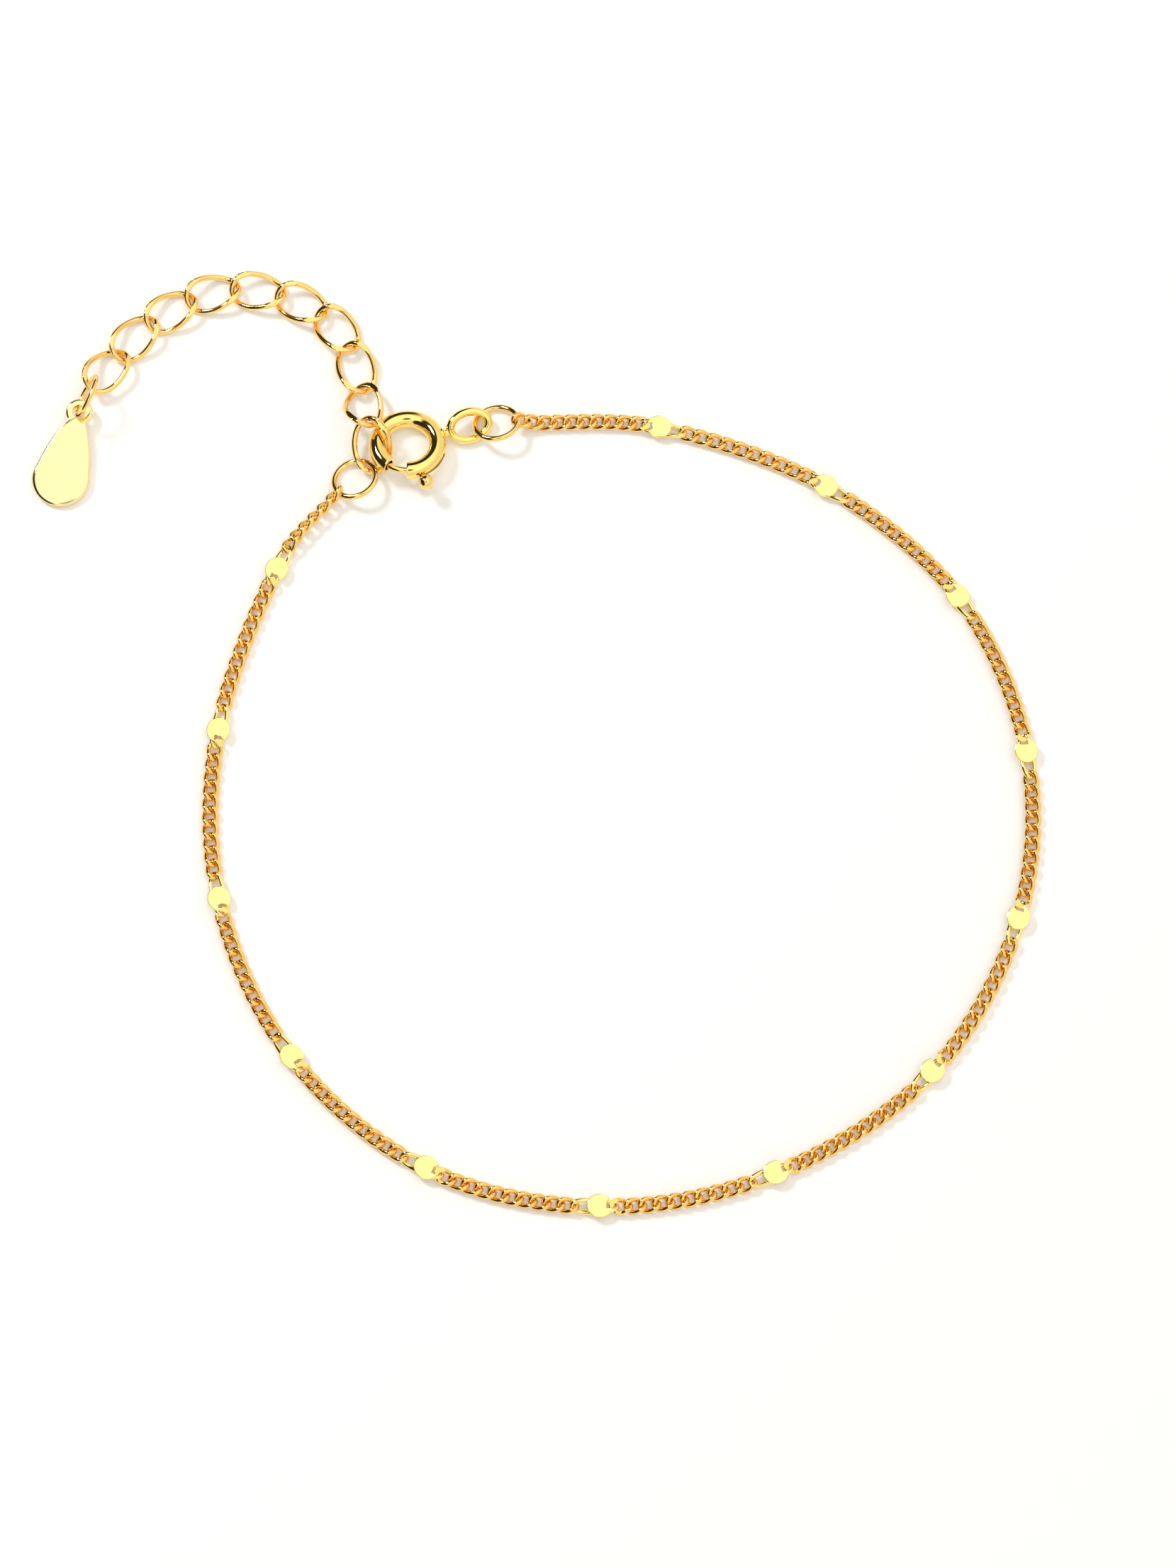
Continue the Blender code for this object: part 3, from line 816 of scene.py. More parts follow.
def softened(item: bpy.types.Object, width: float, angle: float) -> bpy.types.Object:
    """Round the edges that are sharper than an angle in degrees, and keep the plain result.

    Args:
        item: The object, which is used up.
        width: Width of the rounding.
        angle: The angle in degrees.

    Returns:
        The plain object.
    """
    soft = item.modifiers.new("edge", "BEVEL")
    soft.width = width
    soft.segments = 2
    soft.limit_method = "ANGLE"
    soft.angle_limit = math.radians(angle)
    return baked(item, item.name)


def combined(base: bpy.types.Object, tools: Sequence[bpy.types.Object], operation: str) -> bpy.types.Object:
    """Join shapes to an object, or cut them away.

    Args:
        base: The object that is kept.
        tools: The shapes that are used up.
        operation: UNION or DIFFERENCE.

    Returns:
        The result as a plain object.
    """
    for tool in tools:
        step = base.modifiers.new(tool.name, "BOOLEAN")
        step.operation = operation
        step.solver = "EXACT"
        step.object = tool
    made = baked(base, base.name)
    for tool in tools:
        bpy.data.objects.remove(tool, do_unlink=True)
    shade(made.data)
    return made


def placed(item: bpy.types.Object, frame: Matrix) -> bpy.types.Object:
    """Move an object's mesh to its place, so that the object itself stays at the origin.

    Args:
        item: The object.
        frame: The place and the turn of its mesh.

    Returns:
        The same object.
    """
    item.data.transform(item.matrix_world)
    item.matrix_world = Matrix.Identity(4)
    item.data.transform(frame)
    return item


def dress(
    item: bpy.types.Object, finish: GoldFinish, body: str, nodes: Sequence[str], remark: str
) -> bpy.types.Object:
    """Give a finished piece its finish and its place in the frame, and report it.

    Args:
        item: The finished piece.
        finish: Its finish.
        body: The CAD body that it rides on.
        nodes: The CAD nodes that it stands for.
        remark: What it is, for the log.

    Returns:
        The piece.
    """
    item.data.materials.clear()
    item.data.materials.append(finish.material())
    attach(item, body)
    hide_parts(*nodes)
    LOG.info("%s: %s, %d faces", item.name, remark, len(item.data.polygons))
    return item


class LinkTrees:
    """The geometry node trees: one link of bent wire, a run of links along a route, and placed copies."""

    @staticmethod
    def sockets(tree: bpy.types.NodeTree, rows: Sequence[tuple[str, str, Any]]) -> None:
        """Add named inputs with their first values, and one geometry output, to a tree.

        Args:
            tree: The tree.
            rows: Name, socket type and value of each input.
        """
        for name, kind, value in rows:
            made = tree.interface.new_socket(name=name, in_out="INPUT", socket_type=kind)
            if value is not None:
                made.default_value = value
        tree.interface.new_socket(name="Geometry", in_out="OUTPUT", socket_type="NodeSocketGeometry")

    @staticmethod
    def formulas(
        tree: bpy.types.NodeTree, known: dict[Any, bpy.types.NodeSocket], rows: Sequence[tuple[Any, ...]]
    ) -> None:
        """Add a chain of maths nodes, and keep each result under its name.

        Args:
            tree: The tree.
            known: Sockets by name, to which the results are added.
            rows: Name, operation and terms of each formula; a term is a number or a known name.
        """
        for name, operation, *terms in rows:
            feeds = {slot: known.get(term, term) for slot, term in enumerate(terms)}
            known[name] = add_node(tree, "ShaderNodeMath", feeds, operation=operation).outputs[0]

    @cached_property
    def link(self) -> bpy.types.NodeTree:
        """One link: a saddle-shaped oval of round wire whose high and low spots can be planed flat.

        Returns:
            The tree, whose inputs are the link's sizes.
        """
        tree = bpy.data.node_groups.new("bent_wire_link", "GeometryNodeTree")
        self.sockets(
            tree,
            (
                ("Half length", "NodeSocketFloat", CURB.half_length),
                ("Half width", "NodeSocketFloat", CURB.half_width),
                ("Twist", "NodeSocketFloat", CURB.twist),
                ("Wire radius", "NodeSocketFloat", 0.5 * CURB.wire),
                ("Planed height", "NodeSocketFloat", 1.0),
                ("Planed from", "NodeSocketFloat", -1.0),
                ("Lift", "NodeSocketFloat", 0.0),
                ("Roundness", "NodeSocketFloat", 1.0),
                ("Steps", "NodeSocketInt", 22),
                ("Sides", "NodeSocketInt", 8),
            ),
        )
        given = add_node(tree, "NodeGroupInput").outputs
        known = {socket.name: socket for socket in given if socket.name}
        known["share"] = add_node(tree, "GeometryNodeSplineParameter").outputs["Factor"]
        self.formulas(
            tree,
            known,
            (
                ("turn", "MULTIPLY", "share", 2.0 * math.pi),
                ("cosine", "COSINE", "turn"),
                ("sine", "SINE", "turn"),
                ("double turn", "MULTIPLY", "turn", 2.0),
                ("wave", "SINE", "double turn"),
                ("down", "MULTIPLY", "wave", -1.0),
                ("side", "SIGN", "sine"),
                ("reach", "ABSOLUTE", "sine"),
                ("blunt", "POWER", "reach", "Roundness"),
                ("wide", "MULTIPLY", "blunt", "Half width"),
                ("x", "MULTIPLY", "cosine", "Half length"),
                ("y", "MULTIPLY", "side", "wide"),
                ("z", "MULTIPLY", "down", "Twist"),
            ),
        )
        spot = add_node(tree, "ShaderNodeCombineXYZ", {axis.upper(): known[axis] for axis in "xyz"})
        circle = add_node(
            tree, "GeometryNodeCurvePrimitiveCircle", {"Radius": 1.0, "Resolution": given["Steps"]}
        )
        line = add_node(
            tree, "GeometryNodeSetPosition", {"Geometry": circle.outputs["Curve"], "Position": spot}
        )
        section = add_node(
            tree,
            "GeometryNodeCurvePrimitiveCircle",
            {"Resolution": given["Sides"], "Radius": given["Wire radius"]},
        )
        wire = add_node(
            tree,
            "GeometryNodeCurveToMesh",
            {"Curve": line.outputs["Geometry"], "Profile Curve": section.outputs["Curve"]},
        )
        # Lift one half, then plane the high and low spots of the wire
        place = add_node(tree, "GeometryNodeInputPosition").outputs[0]
        now = add_node(tree, "ShaderNodeSeparateXYZ", {0: place}).outputs
        known.update({"x now": now["X"], "z now": now["Z"]})
        self.formulas(
            tree,
            known,
            (
                ("lowest", "MULTIPLY", "Planed height", -1.0),
                ("share out", "DIVIDE", "x now", "Half length"),
            ),
        )
        known["lift"] = add_node(
            tree,
            "ShaderNodeMapRange",
            {1: 0.05, 2: 0.60, 0: known["share out"], 4: given["Lift"]},
            interpolation_type="SMOOTHSTEP",
        ).outputs[0]
        self.formulas(tree, known, (("lifted", "ADD", "z now", "lift"),))
        level = add_node(
            tree,
            "ShaderNodeClamp",
            {"Value": known["lifted"], "Min": known["lowest"], "Max": given["Planed height"]},
        )
        planed_spot = add_node(tree, "ShaderNodeCombineXYZ", {"X": now["X"], "Y": now["Y"], "Z": level})
        reached = add_node(
            tree, "FunctionNodeCompare", {0: now["X"], 1: given["Planed from"]}, operation="GREATER_THAN"
        )
        planed = add_node(
            tree,
            "GeometryNodeSetPosition",
            {"Geometry": wire, "Selection": reached, "Position": planed_spot},
        )
        smooth = add_node(tree, "GeometryNodeSetShadeSmooth", {0: planed.outputs["Geometry"]})
        add_node(tree, "NodeGroupOutput", {0: smooth})
        return tree

    @cached_property
    def run(self) -> bpy.types.NodeTree:
        """A run of curb links spaced evenly along a route, each turned a little out of true.

        Returns:
            The tree, whose inputs are the route, the link's sizes, the play and the finish.
        """
        tree = bpy.data.node_groups.new("curb_run", "GeometryNodeTree")
        self.sockets(
            tree,
            (
                ("Route", "NodeSocketGeometry", None),
                ("Links", "NodeSocketInt", 10),
                ("Half length", "NodeSocketFloat", CURB.half_length),
                ("Half width", "NodeSocketFloat", CURB.half_width),
                ("Twist", "NodeSocketFloat", CURB.twist),
                ("Wire radius", "NodeSocketFloat", 0.5 * CURB.wire),
                ("Pressed height", "NodeSocketFloat", 0.34 * MM),
                ("Pressed lift", "NodeSocketFloat", 0.26 * MM),
                ("Press last link", "NodeSocketBool", True),
                ("Play", "NodeSocketFloat", 0.035),
                ("Seed", "NodeSocketInt", 1),
                ("Finish", "NodeSocketMaterial", None),
            ),
        )
        given = add_node(tree, "NodeGroupInput").outputs
        curve = add_node(tree, "GeometryNodeMeshToCurve", {"Mesh": given["Route"]})
        spots = add_node(
            tree, "GeometryNodeCurveToPoints", {"Curve": curve, "Count": given["Links"]}, mode="COUNT"
        )
        up = add_node(tree, "GeometryNodeInputNamedAttribute", {"Name": "up"}, data_type="FLOAT_VECTOR")
        facing = add_node(
            tree,
            "FunctionNodeAxesToRotation",
            {0: spots.outputs["Tangent"], 1: up.outputs["Attribute"]},
            primary_axis="X",
            secondary_axis="Z",
        )
        least = add_node(tree, "ShaderNodeMath", {1: -1.0, 0: given["Play"]}, operation="MULTIPLY")
        chance = add_node(
            tree,
            "FunctionNodeRandomValue",
            {2: least, 3: given["Play"], "Seed": given["Seed"]},
            data_type="FLOAT",
        )
        roll = add_node(
            tree, "FunctionNodeAxisAngleToRotation", {"Axis": (1.0, 0.0, 0.0), "Angle": chance.outputs[1]}
        )
        turned = add_node(tree, "FunctionNodeRotateRotation", {0: facing, 1: roll}, rotation_space="LOCAL")
        number = add_node(tree, "GeometryNodeInputIndex").outputs[0]
        final = add_node(tree, "ShaderNodeMath", {1: 1.0, 0: given["Links"]}, operation="SUBTRACT")
        last = add_node(
            tree, "FunctionNodeCompare", {2: number, 3: final}, data_type="INT", operation="EQUAL"
        )
        pressed = add_node(
            tree, "FunctionNodeBooleanMath", {0: last, 1: given["Press last link"]}, operation="AND"
        )
        plain = add_node(tree, "FunctionNodeBooleanMath", {0: pressed}, operation="NOT")
        sizes = {name: given[name] for name in ("Half length", "Half width", "Twist", "Wire radius")}
        pressing = {
            "Planed height": given["Pressed height"],
            "Planed from": 0.0,
            "Lift": given["Pressed lift"],
            "Steps": 44,
            "Sides": 16,
        }
        round_link = add_node(tree, "GeometryNodeGroup", sizes, node_tree=self.link)
        pressed_link = add_node(tree, "GeometryNodeGroup", sizes | pressing, node_tree=self.link)
        copies = add_node(tree, "GeometryNodeJoinGeometry")
        for shape, chosen in ((round_link, plain), (pressed_link, pressed)):
            copy = add_node(
                tree,
                "GeometryNodeInstanceOnPoints",
                {
                    "Points": spots.outputs["Points"],
                    "Selection": chosen,
                    "Instance": shape,
                    "Rotation": turned,
                },
            )
            tree.links.new(copy.outputs[0], copies.inputs[0])
        self.finish_tree(tree, copies.outputs[0], given["Finish"])
        return tree

    @cached_property
    def copies(self) -> bpy.types.NodeTree:
        """Copies of a finished shape on points that say which way each copy faces.

        Returns:
            The tree, whose inputs are the places, the shape and the finish.
        """
        tree = bpy.data.node_groups.new("placed_copies", "GeometryNodeTree")
        self.sockets(
            tree,
            (
                ("Places", "NodeSocketGeometry", None),
                ("Shape", "NodeSocketObject", None),
                ("Finish", "NodeSocketMaterial", None),
            ),
        )
        given = add_node(tree, "NodeGroupInput").outputs
        along = add_node(
            tree, "GeometryNodeInputNamedAttribute", {"Name": "along"}, data_type="FLOAT_VECTOR"
        )
        up = add_node(tree, "GeometryNodeInputNamedAttribute", {"Name": "up"}, data_type="FLOAT_VECTOR")
        facing = add_node(
            tree,
            "FunctionNodeAxesToRotation",
            {0: along.outputs["Attribute"], 1: up.outputs["Attribute"]},
            primary_axis="X",
            secondary_axis="Z",
        )
        shape = add_node(tree, "GeometryNodeObjectInfo", {"Object": given["Shape"]})
        points = add_node(tree, "GeometryNodeMeshToPoints", {"Mesh": given["Places"]})
        copy = add_node(
            tree,
            "GeometryNodeInstanceOnPoints",
            {"Points": points, "Instance": shape.outputs["Geometry"], "Rotation": facing},
        )
        self.finish_tree(tree, copy.outputs[0], given["Finish"])
        return tree

    @staticmethod
    def finish_tree(
        tree: bpy.types.NodeTree, source: bpy.types.NodeSocket, finish: bpy.types.NodeSocket
    ) -> None:
        """End a tree in realised copies with their finish.

        Args:
            tree: The tree.
            source: The copies.
            finish: The socket with the finish.
        """
        real = add_node(tree, "GeometryNodeRealizeInstances", {0: source})
        coated = add_node(tree, "GeometryNodeSetMaterial", {"Geometry": real, "Material": finish})
        add_node(tree, "NodeGroupOutput", {0: coated})

    @staticmethod
    def grown(
        name: str, base: bpy.types.Mesh, tree: bpy.types.NodeTree, values: Mapping[str, Any]
    ) -> bpy.types.Object:
        """Run a tree on a mesh and keep the plain result.

        Args:
            name: Name of the new object.
            base: The mesh that the tree starts from.
            tree: The geometry node tree.
            values: Values of its inputs by name.

        Returns:
            The plain object.
        """
        seedling = new_object(name, base)
        modifier = seedling.modifiers.new("grow", "NODES")
        modifier.node_group = tree
        for row in tree.interface.items_tree:
            if row.in_out == "INPUT" and row.name in values:
                modifier[row.identifier] = values[row.name]
        return baked(seedling, name)

    def copied(
        self,
        name: str,
        shape: bpy.types.Object,
        places: np.ndarray,
        facing: Mapping[str, np.ndarray],
        finish: GoldFinish,
    ) -> bpy.types.Object:
        """Put a copy of a shape at each place, and use the shape up.

        Args:
            name: Name of the new object.
            shape: The finished shape.
            places: Where the copies go.
            facing: The directions "along" and "up" of each copy.
            finish: The finish of the copies.

        Returns:
            The plain object.
        """
        base = polyline(name, places, facing, joined=False)
        made = self.grown(name, base, self.copies, {"Shape": shape, "Finish": finish.material()})
        bpy.data.objects.remove(shape, do_unlink=True)
        return made

    def single(self, name: str, values: Mapping[str, Any]) -> bpy.types.Object:
        """One link on its own, at the origin."""
        return self.grown(name, bpy.data.meshes.new(name), self.link, values)


def polyline(
    name: str, points: np.ndarray, vectors: Mapping[str, np.ndarray], joined: bool
) -> bpy.types.Mesh:
    """A mesh of points, joined into a line or not, with a vector for each point under each name.

    Args:
        name: Name of the mesh.
        points: The points.
        vectors: Vectors by attribute name, one row for each point.
        joined: Whether edges join the points in their order.

    Returns:
        The mesh.
    """
    mesh = bpy.data.meshes.new(name)
    edges = [(index, index + 1) for index in range(len(points) - 1)] if joined else []
    mesh.from_pydata([tuple(map(float, point)) for point in points], edges, [])
    for key, rows in vectors.items():
        layer = mesh.attributes.new(key, "FLOAT_VECTOR", "POINT")
        layer.data.foreach_set("vector", np.asarray(rows, dtype=np.float32).ravel())
    return mesh


@dataclass
class CurbChain:
    """The runs of small curb links, made link by link along the chain's route."""

    lay: Lay
    trees: LinkTrees
    play: float = 0.035
    pressed_height: float = 0.34 * MM
    pressed_lift: float = 0.26 * MM

    def build(self) -> None:
        """Make every run and let it stand for its CAD tube."""
        for index, (links, _) in enumerate(RUNS):
            start, end = self.lay.cells[0][index]
            half = 0.5 * (end - start) / links
            distances = np.linspace(start + half, end - half, 8 * links)
            points = np.array([self.lay.chain_point(distance) for distance in distances])
            ups = np.array([self.lay.chain_up(distance) for distance in distances])
            name = f"curb_links_{index + 1:02d}"
            run = self.trees.grown(
                name,
                polyline(name, points, {"up": ups}, joined=True),
                self.trees.run,
                {
                    "Links": links,
                    "Play": self.play,
                    "Pressed height": self.pressed_height,
                    "Pressed lift": self.pressed_lift,
                    "Press last link": index < len(RUNS) - 1,
                    "Seed": 11 + index,
                },
            )
            shade(run.data, 50.0)
            dress(run, TUMBLED_CHAIN, FIXED, [f"curb_run_{index + 1:02d}"], f"{links} curb links")


@dataclass
class DiscStations:
    """The station links: a long curb link pressed into a flat mirror disc, notched for its neighbour."""

    lay: Lay
    trees: LinkTrees
    roundness: float = 0.72
    disc_x: float = 0.90 * MM
    disc_y: float = 0.80 * MM
    thickness: float = 0.30 * MM
    rise: float = 0.05 * MM
    shift: float = 0.38 * MM
    edge: float = 0.035 * MM
    notch_start: float = 170.0
    notch_end: float = 223.0
    notch_depth: float = 0.45 * MM
    notch_top: float = 0.26 * MM
    notch_bottom: float = 0.17 * MM

    def outline(self) -> list[tuple[float, float]]:
        """The disc's outline from the notch's lower lip round to its upper lip, then the notch.

        Returns:
            The corners in order, each with X along the chain and Y across it.
        """
        angles = np.radians(np.linspace(self.notch_end, 360.0 + self.notch_start, 56))
        rim = [(self.disc_x * math.cos(turn) - self.shift, self.disc_y * math.sin(turn)) for turn in angles]
        inner = -self.notch_depth - self.shift
        return rim + [(inner, self.notch_bottom), (inner, -self.notch_top)]

    def plate(self) -> bpy.types.Object:
        """The flat disc with its softened edge.

        Returns:
            The disc as a plain object.
        """
        top = self.lay.station_twist + 0.5 * CURB.wire + self.rise
        cage = bmesh.new()
        corners = [cage.verts.new((x, y, top - self.thickness)) for x, y in self.outline()]
        grown = bmesh.ops.extrude_face_region(cage, geom=[cage.faces.new(corners)])
        raised = [piece for piece in grown["geom"] if isinstance(piece, bmesh.types.BMVert)]
        bmesh.ops.translate(cage, verts=raised, vec=(0.0, 0.0, self.thickness))
        return softened(solid("station_plate", cage), self.edge, 50.0)

    def build(self) -> None:
        """Make one station and place its copies along the chain."""
        link = self.trees.single(
            "station_link",
            {
                "Half length": 0.5 * self.lay.station_pitch + CURB.half_length - 0.5 * CURB.pitch,
                "Half width": CURB.half_width,
                "Twist": self.lay.station_twist,
                "Wire radius": 0.5 * CURB.wire,
                "Roundness": self.roundness,
                "Steps": 72,
                "Sides": 20,
            },
        )
        station = combined(link, [self.plate()], "UNION")
        places, alongs = [], []
        for middle in self.lay.cells[1]:
            start = self.lay.chain.at(middle - 0.5 * self.lay.station_pitch)
            end = self.lay.chain.at(middle + 0.5 * self.lay.station_pitch)
            places.append([*(0.5 * (start + end)), self.lay.station_twist + 0.5 * CURB.wire])
            alongs.append([*(end - start), 0.0])
        ups = np.tile([0.0, 0.0, 1.0], (len(places), 1))
        # The stations take the paler disc gold, whose extra paleness is a painted highlight
        made = self.trees.copied(
            "disc_stations", station, np.array(places), {"along": np.array(alongs), "up": ups}, PRESSED_DISC_PAINTED_HIGHLIGHT
        )
        shade(made.data, 20.0)
        nodes = [f"disc_link_{index + 1:02d}" for index in range(len(places))]
        dress(made, PRESSED_DISC_PAINTED_HIGHLIGHT, FIXED, nodes, "pressed disc stations")


@dataclass
class Extender:
    """The extender's oval links, whose high and low spots are planed flat as on a filed curb chain."""

    lay: Lay
    trees: LinkTrees
    planed: float = 0.09 * MM

    def build(self) -> None:
        """Make one link and place its copies."""
        link = self.trees.single(
            "extender_link",
            {
                "Half length": OVAL.half_length,
                "Half width": OVAL.half_width,
                "Twist": OVAL.twist,
                "Wire radius": 0.5 * OVAL.wire,
                "Planed height": OVAL.twist + 0.5 * OVAL.wire - self.planed,
                "Planed from": -1.0,
                "Steps": 72,
                "Sides": 20,
            },
        )
        frames = self.lay.extender
        places = np.array([frame.translation for frame in frames])
        alongs = np.array([frame.col[0].xyz for frame in frames])
        ups = np.array([frame.col[2].xyz for frame in frames])
        made = self.trees.copied("extender_links", link, places, {"along": alongs, "up": ups}, EXTENDER_WIRE)
        shade(made.data, 30.0)
        nodes = [f"extender_link_{index + 1:02d}" for index in range(len(frames))]
        dress(made, EXTENDER_WIRE, FIXED, nodes, "oval extender links")


@dataclass
class Rings:
    """The round rings of wire, each closed with a butt joint that shows as a fine cut."""

    lay: Lay
    cut: float = 0.8
    steps: int = 72
    sides: int = 20

    def ring(self, name: str, sizes: RingSizes, joint: float, frame: Matrix) -> bpy.types.Object:
        """Make one ring.

        Args:
            name: Name of the piece.
            sizes: Wire and radius.
            joint: Angle of the cut in degrees.
            frame: Where the ring lies.

        Returns:
            The ring.
        """
        line = arc_points(sizes.radius, joint + 0.5 * self.cut, joint + 360.0 - 0.5 * self.cut, self.steps)
        return placed(sweep(name, line, 0.5 * sizes.wire, self.sides, Ends.FLAT), frame)

    def build(self) -> None:
        """Make the three rings."""
        rows = (
            ("right_jump_ring", JUMP_RING, 118.0, self.lay.right_ring, "jump_ring_right"),
            ("left_jump_ring", JUMP_RING, 150.0, self.lay.left_ring, "jump_ring_left"),
            ("drop_ring", TAG_RING, 60.0, self.lay.tag_ring, "tag_ring"),
        )
        for name, sizes, joint, frame, node in rows:
            ring = self.ring(name, sizes, joint, frame)
            dress(ring, RING_WIRE, FIXED, [node], "ring with its butt joint")


@dataclass
class SpringRing:
    """The spring ring clasp: a slotted tube with a soldered eye, and the sprung gate inside it."""

    lay: Lay
    tube: float = 0.63 * MM
    tube_steps: int = 96
    sides: int = 32
    lip: float = 0.03 * MM
    solder: float = 0.9
    eye_wire: float = 0.62 * MM
    eye_growth: float = 0.075 * MM
    eye_shift: float = 0.04 * MM
    knob: float = 0.56 * MM

    def ring(self) -> bpy.types.Object:
        """The tube with its neck and eye, bored and slotted.

        Returns:
            The ring in its place.
        """
        line = arc_points(CLASP.radius, CLASP.mouth_end, 360.0 + CLASP.mouth_start, self.tube_steps)
        tube = sweep("spring_ring", line, self.tube, self.sides, Ends.FLAT)
        turn = math.radians(CLASP.neck_angle)
        outward = np.array([math.cos(turn), math.sin(turn), 0.0])
        start = CLASP.radius + CLASP.tube - 0.5 * CLASP.wall
        end = CLASP.eye_distance - CLASP.eye_half_length
        # The neck swells where the solder runs up the tube and the eye
        waist = np.linspace(start, end, 25)
        swell = 0.5 * CLASP.neck_wire * (1.0 + self.solder * np.abs(np.linspace(-1.0, 1.0, 25)) ** 3)
        neck = sweep("spring_ring_neck", waist[:, None] * outward, swell, 24, Ends.FLAT)
        oval = oval_points(CLASP.eye_half_length + self.eye_growth, CLASP.eye_half_width, 0.0, 64)
        eye = placed(
            sweep("spring_ring_eye", oval, 0.5 * self.eye_wire, 24),
            Matrix.Rotation(turn, 4, "Z")
            @ Matrix.Translation((CLASP.eye_distance - self.eye_shift, 0.0, 0.0))
            @ Matrix.Rotation(math.radians(CLASP.eye_twist), 4, "X"),
        )
        tube = combined(tube, [neck, eye], "UNION")
        bore_line = arc_points(
            CLASP.radius, CLASP.mouth_end - 4.0, 364.0 + CLASP.mouth_start, self.tube_steps
        )
        bore = sweep("spring_ring_bore", bore_line, CLASP.tube - CLASP.wall, 24, Ends.FLAT)
        margin = math.degrees(0.5 * CLASP.slot_width / (CLASP.radius + CLASP.tube))
        slot_line = arc_points(
            CLASP.radius + CLASP.tube - 0.5 * CLASP.wall,
            CLASP.knob_angle - 0.2 * margin,
            CLASP.knob_angle + CLASP.gate_opening + 0.2 * margin,
            20,
        )
        slot = sweep("spring_ring_slot", slot_line, 0.5 * CLASP.slot_width, 24, Ends.DOMED)
        ring = softened(combined(tube, [bore, slot], "DIFFERENCE"), self.lip, 55.0)
        shade(ring.data, 45.0)
        return placed(ring, self.lay.clasp)

    def gate(self) -> bpy.types.Object:
        """The sprung wire with its thumb knob.

        Returns:
            The gate in its place.
        """
        line = arc_points(CLASP.radius, CLASP.mouth_start - CLASP.gate_tip_entry, CLASP.gate_tail, 40)
        wire = sweep("spring_gate", line, 0.5 * CLASP.gate_wire, 24, Ends.FLAT)
        turn = math.radians(CLASP.knob_angle)
        outward = np.array([math.cos(turn), math.sin(turn), 0.0])
        # The knob is turned from thicker wire: a thin stem that swells into a round ball
        middle = CLASP.radius + self.tube + CLASP.knob_gap + self.knob
        rise = np.radians(np.linspace(160.0, 4.0, 27))
        reach = np.concatenate([[CLASP.radius], middle + self.knob * np.cos(rise)])
        stem = 0.5 * CLASP.stem_wire
        girth = np.concatenate([[stem], np.maximum(self.knob * np.sin(rise), stem * (rise > 1.0))])
        knob = sweep("spring_gate_knob", reach[:, None] * outward, girth, 28, Ends.FLAT)
        gate = combined(wire, [knob], "UNION")
        return placed(gate, self.lay.clasp)

    def build(self) -> None:
        """Make the two pieces: one is fixed and one turns with the gate."""
        dress(self.ring(), SPRING_RING, FIXED, ["clasp_ring"], "slotted tube with its eye")
        dress(self.gate(), SPRING_GATE, GATE, ["clasp_gate"], "sprung gate with its knob")


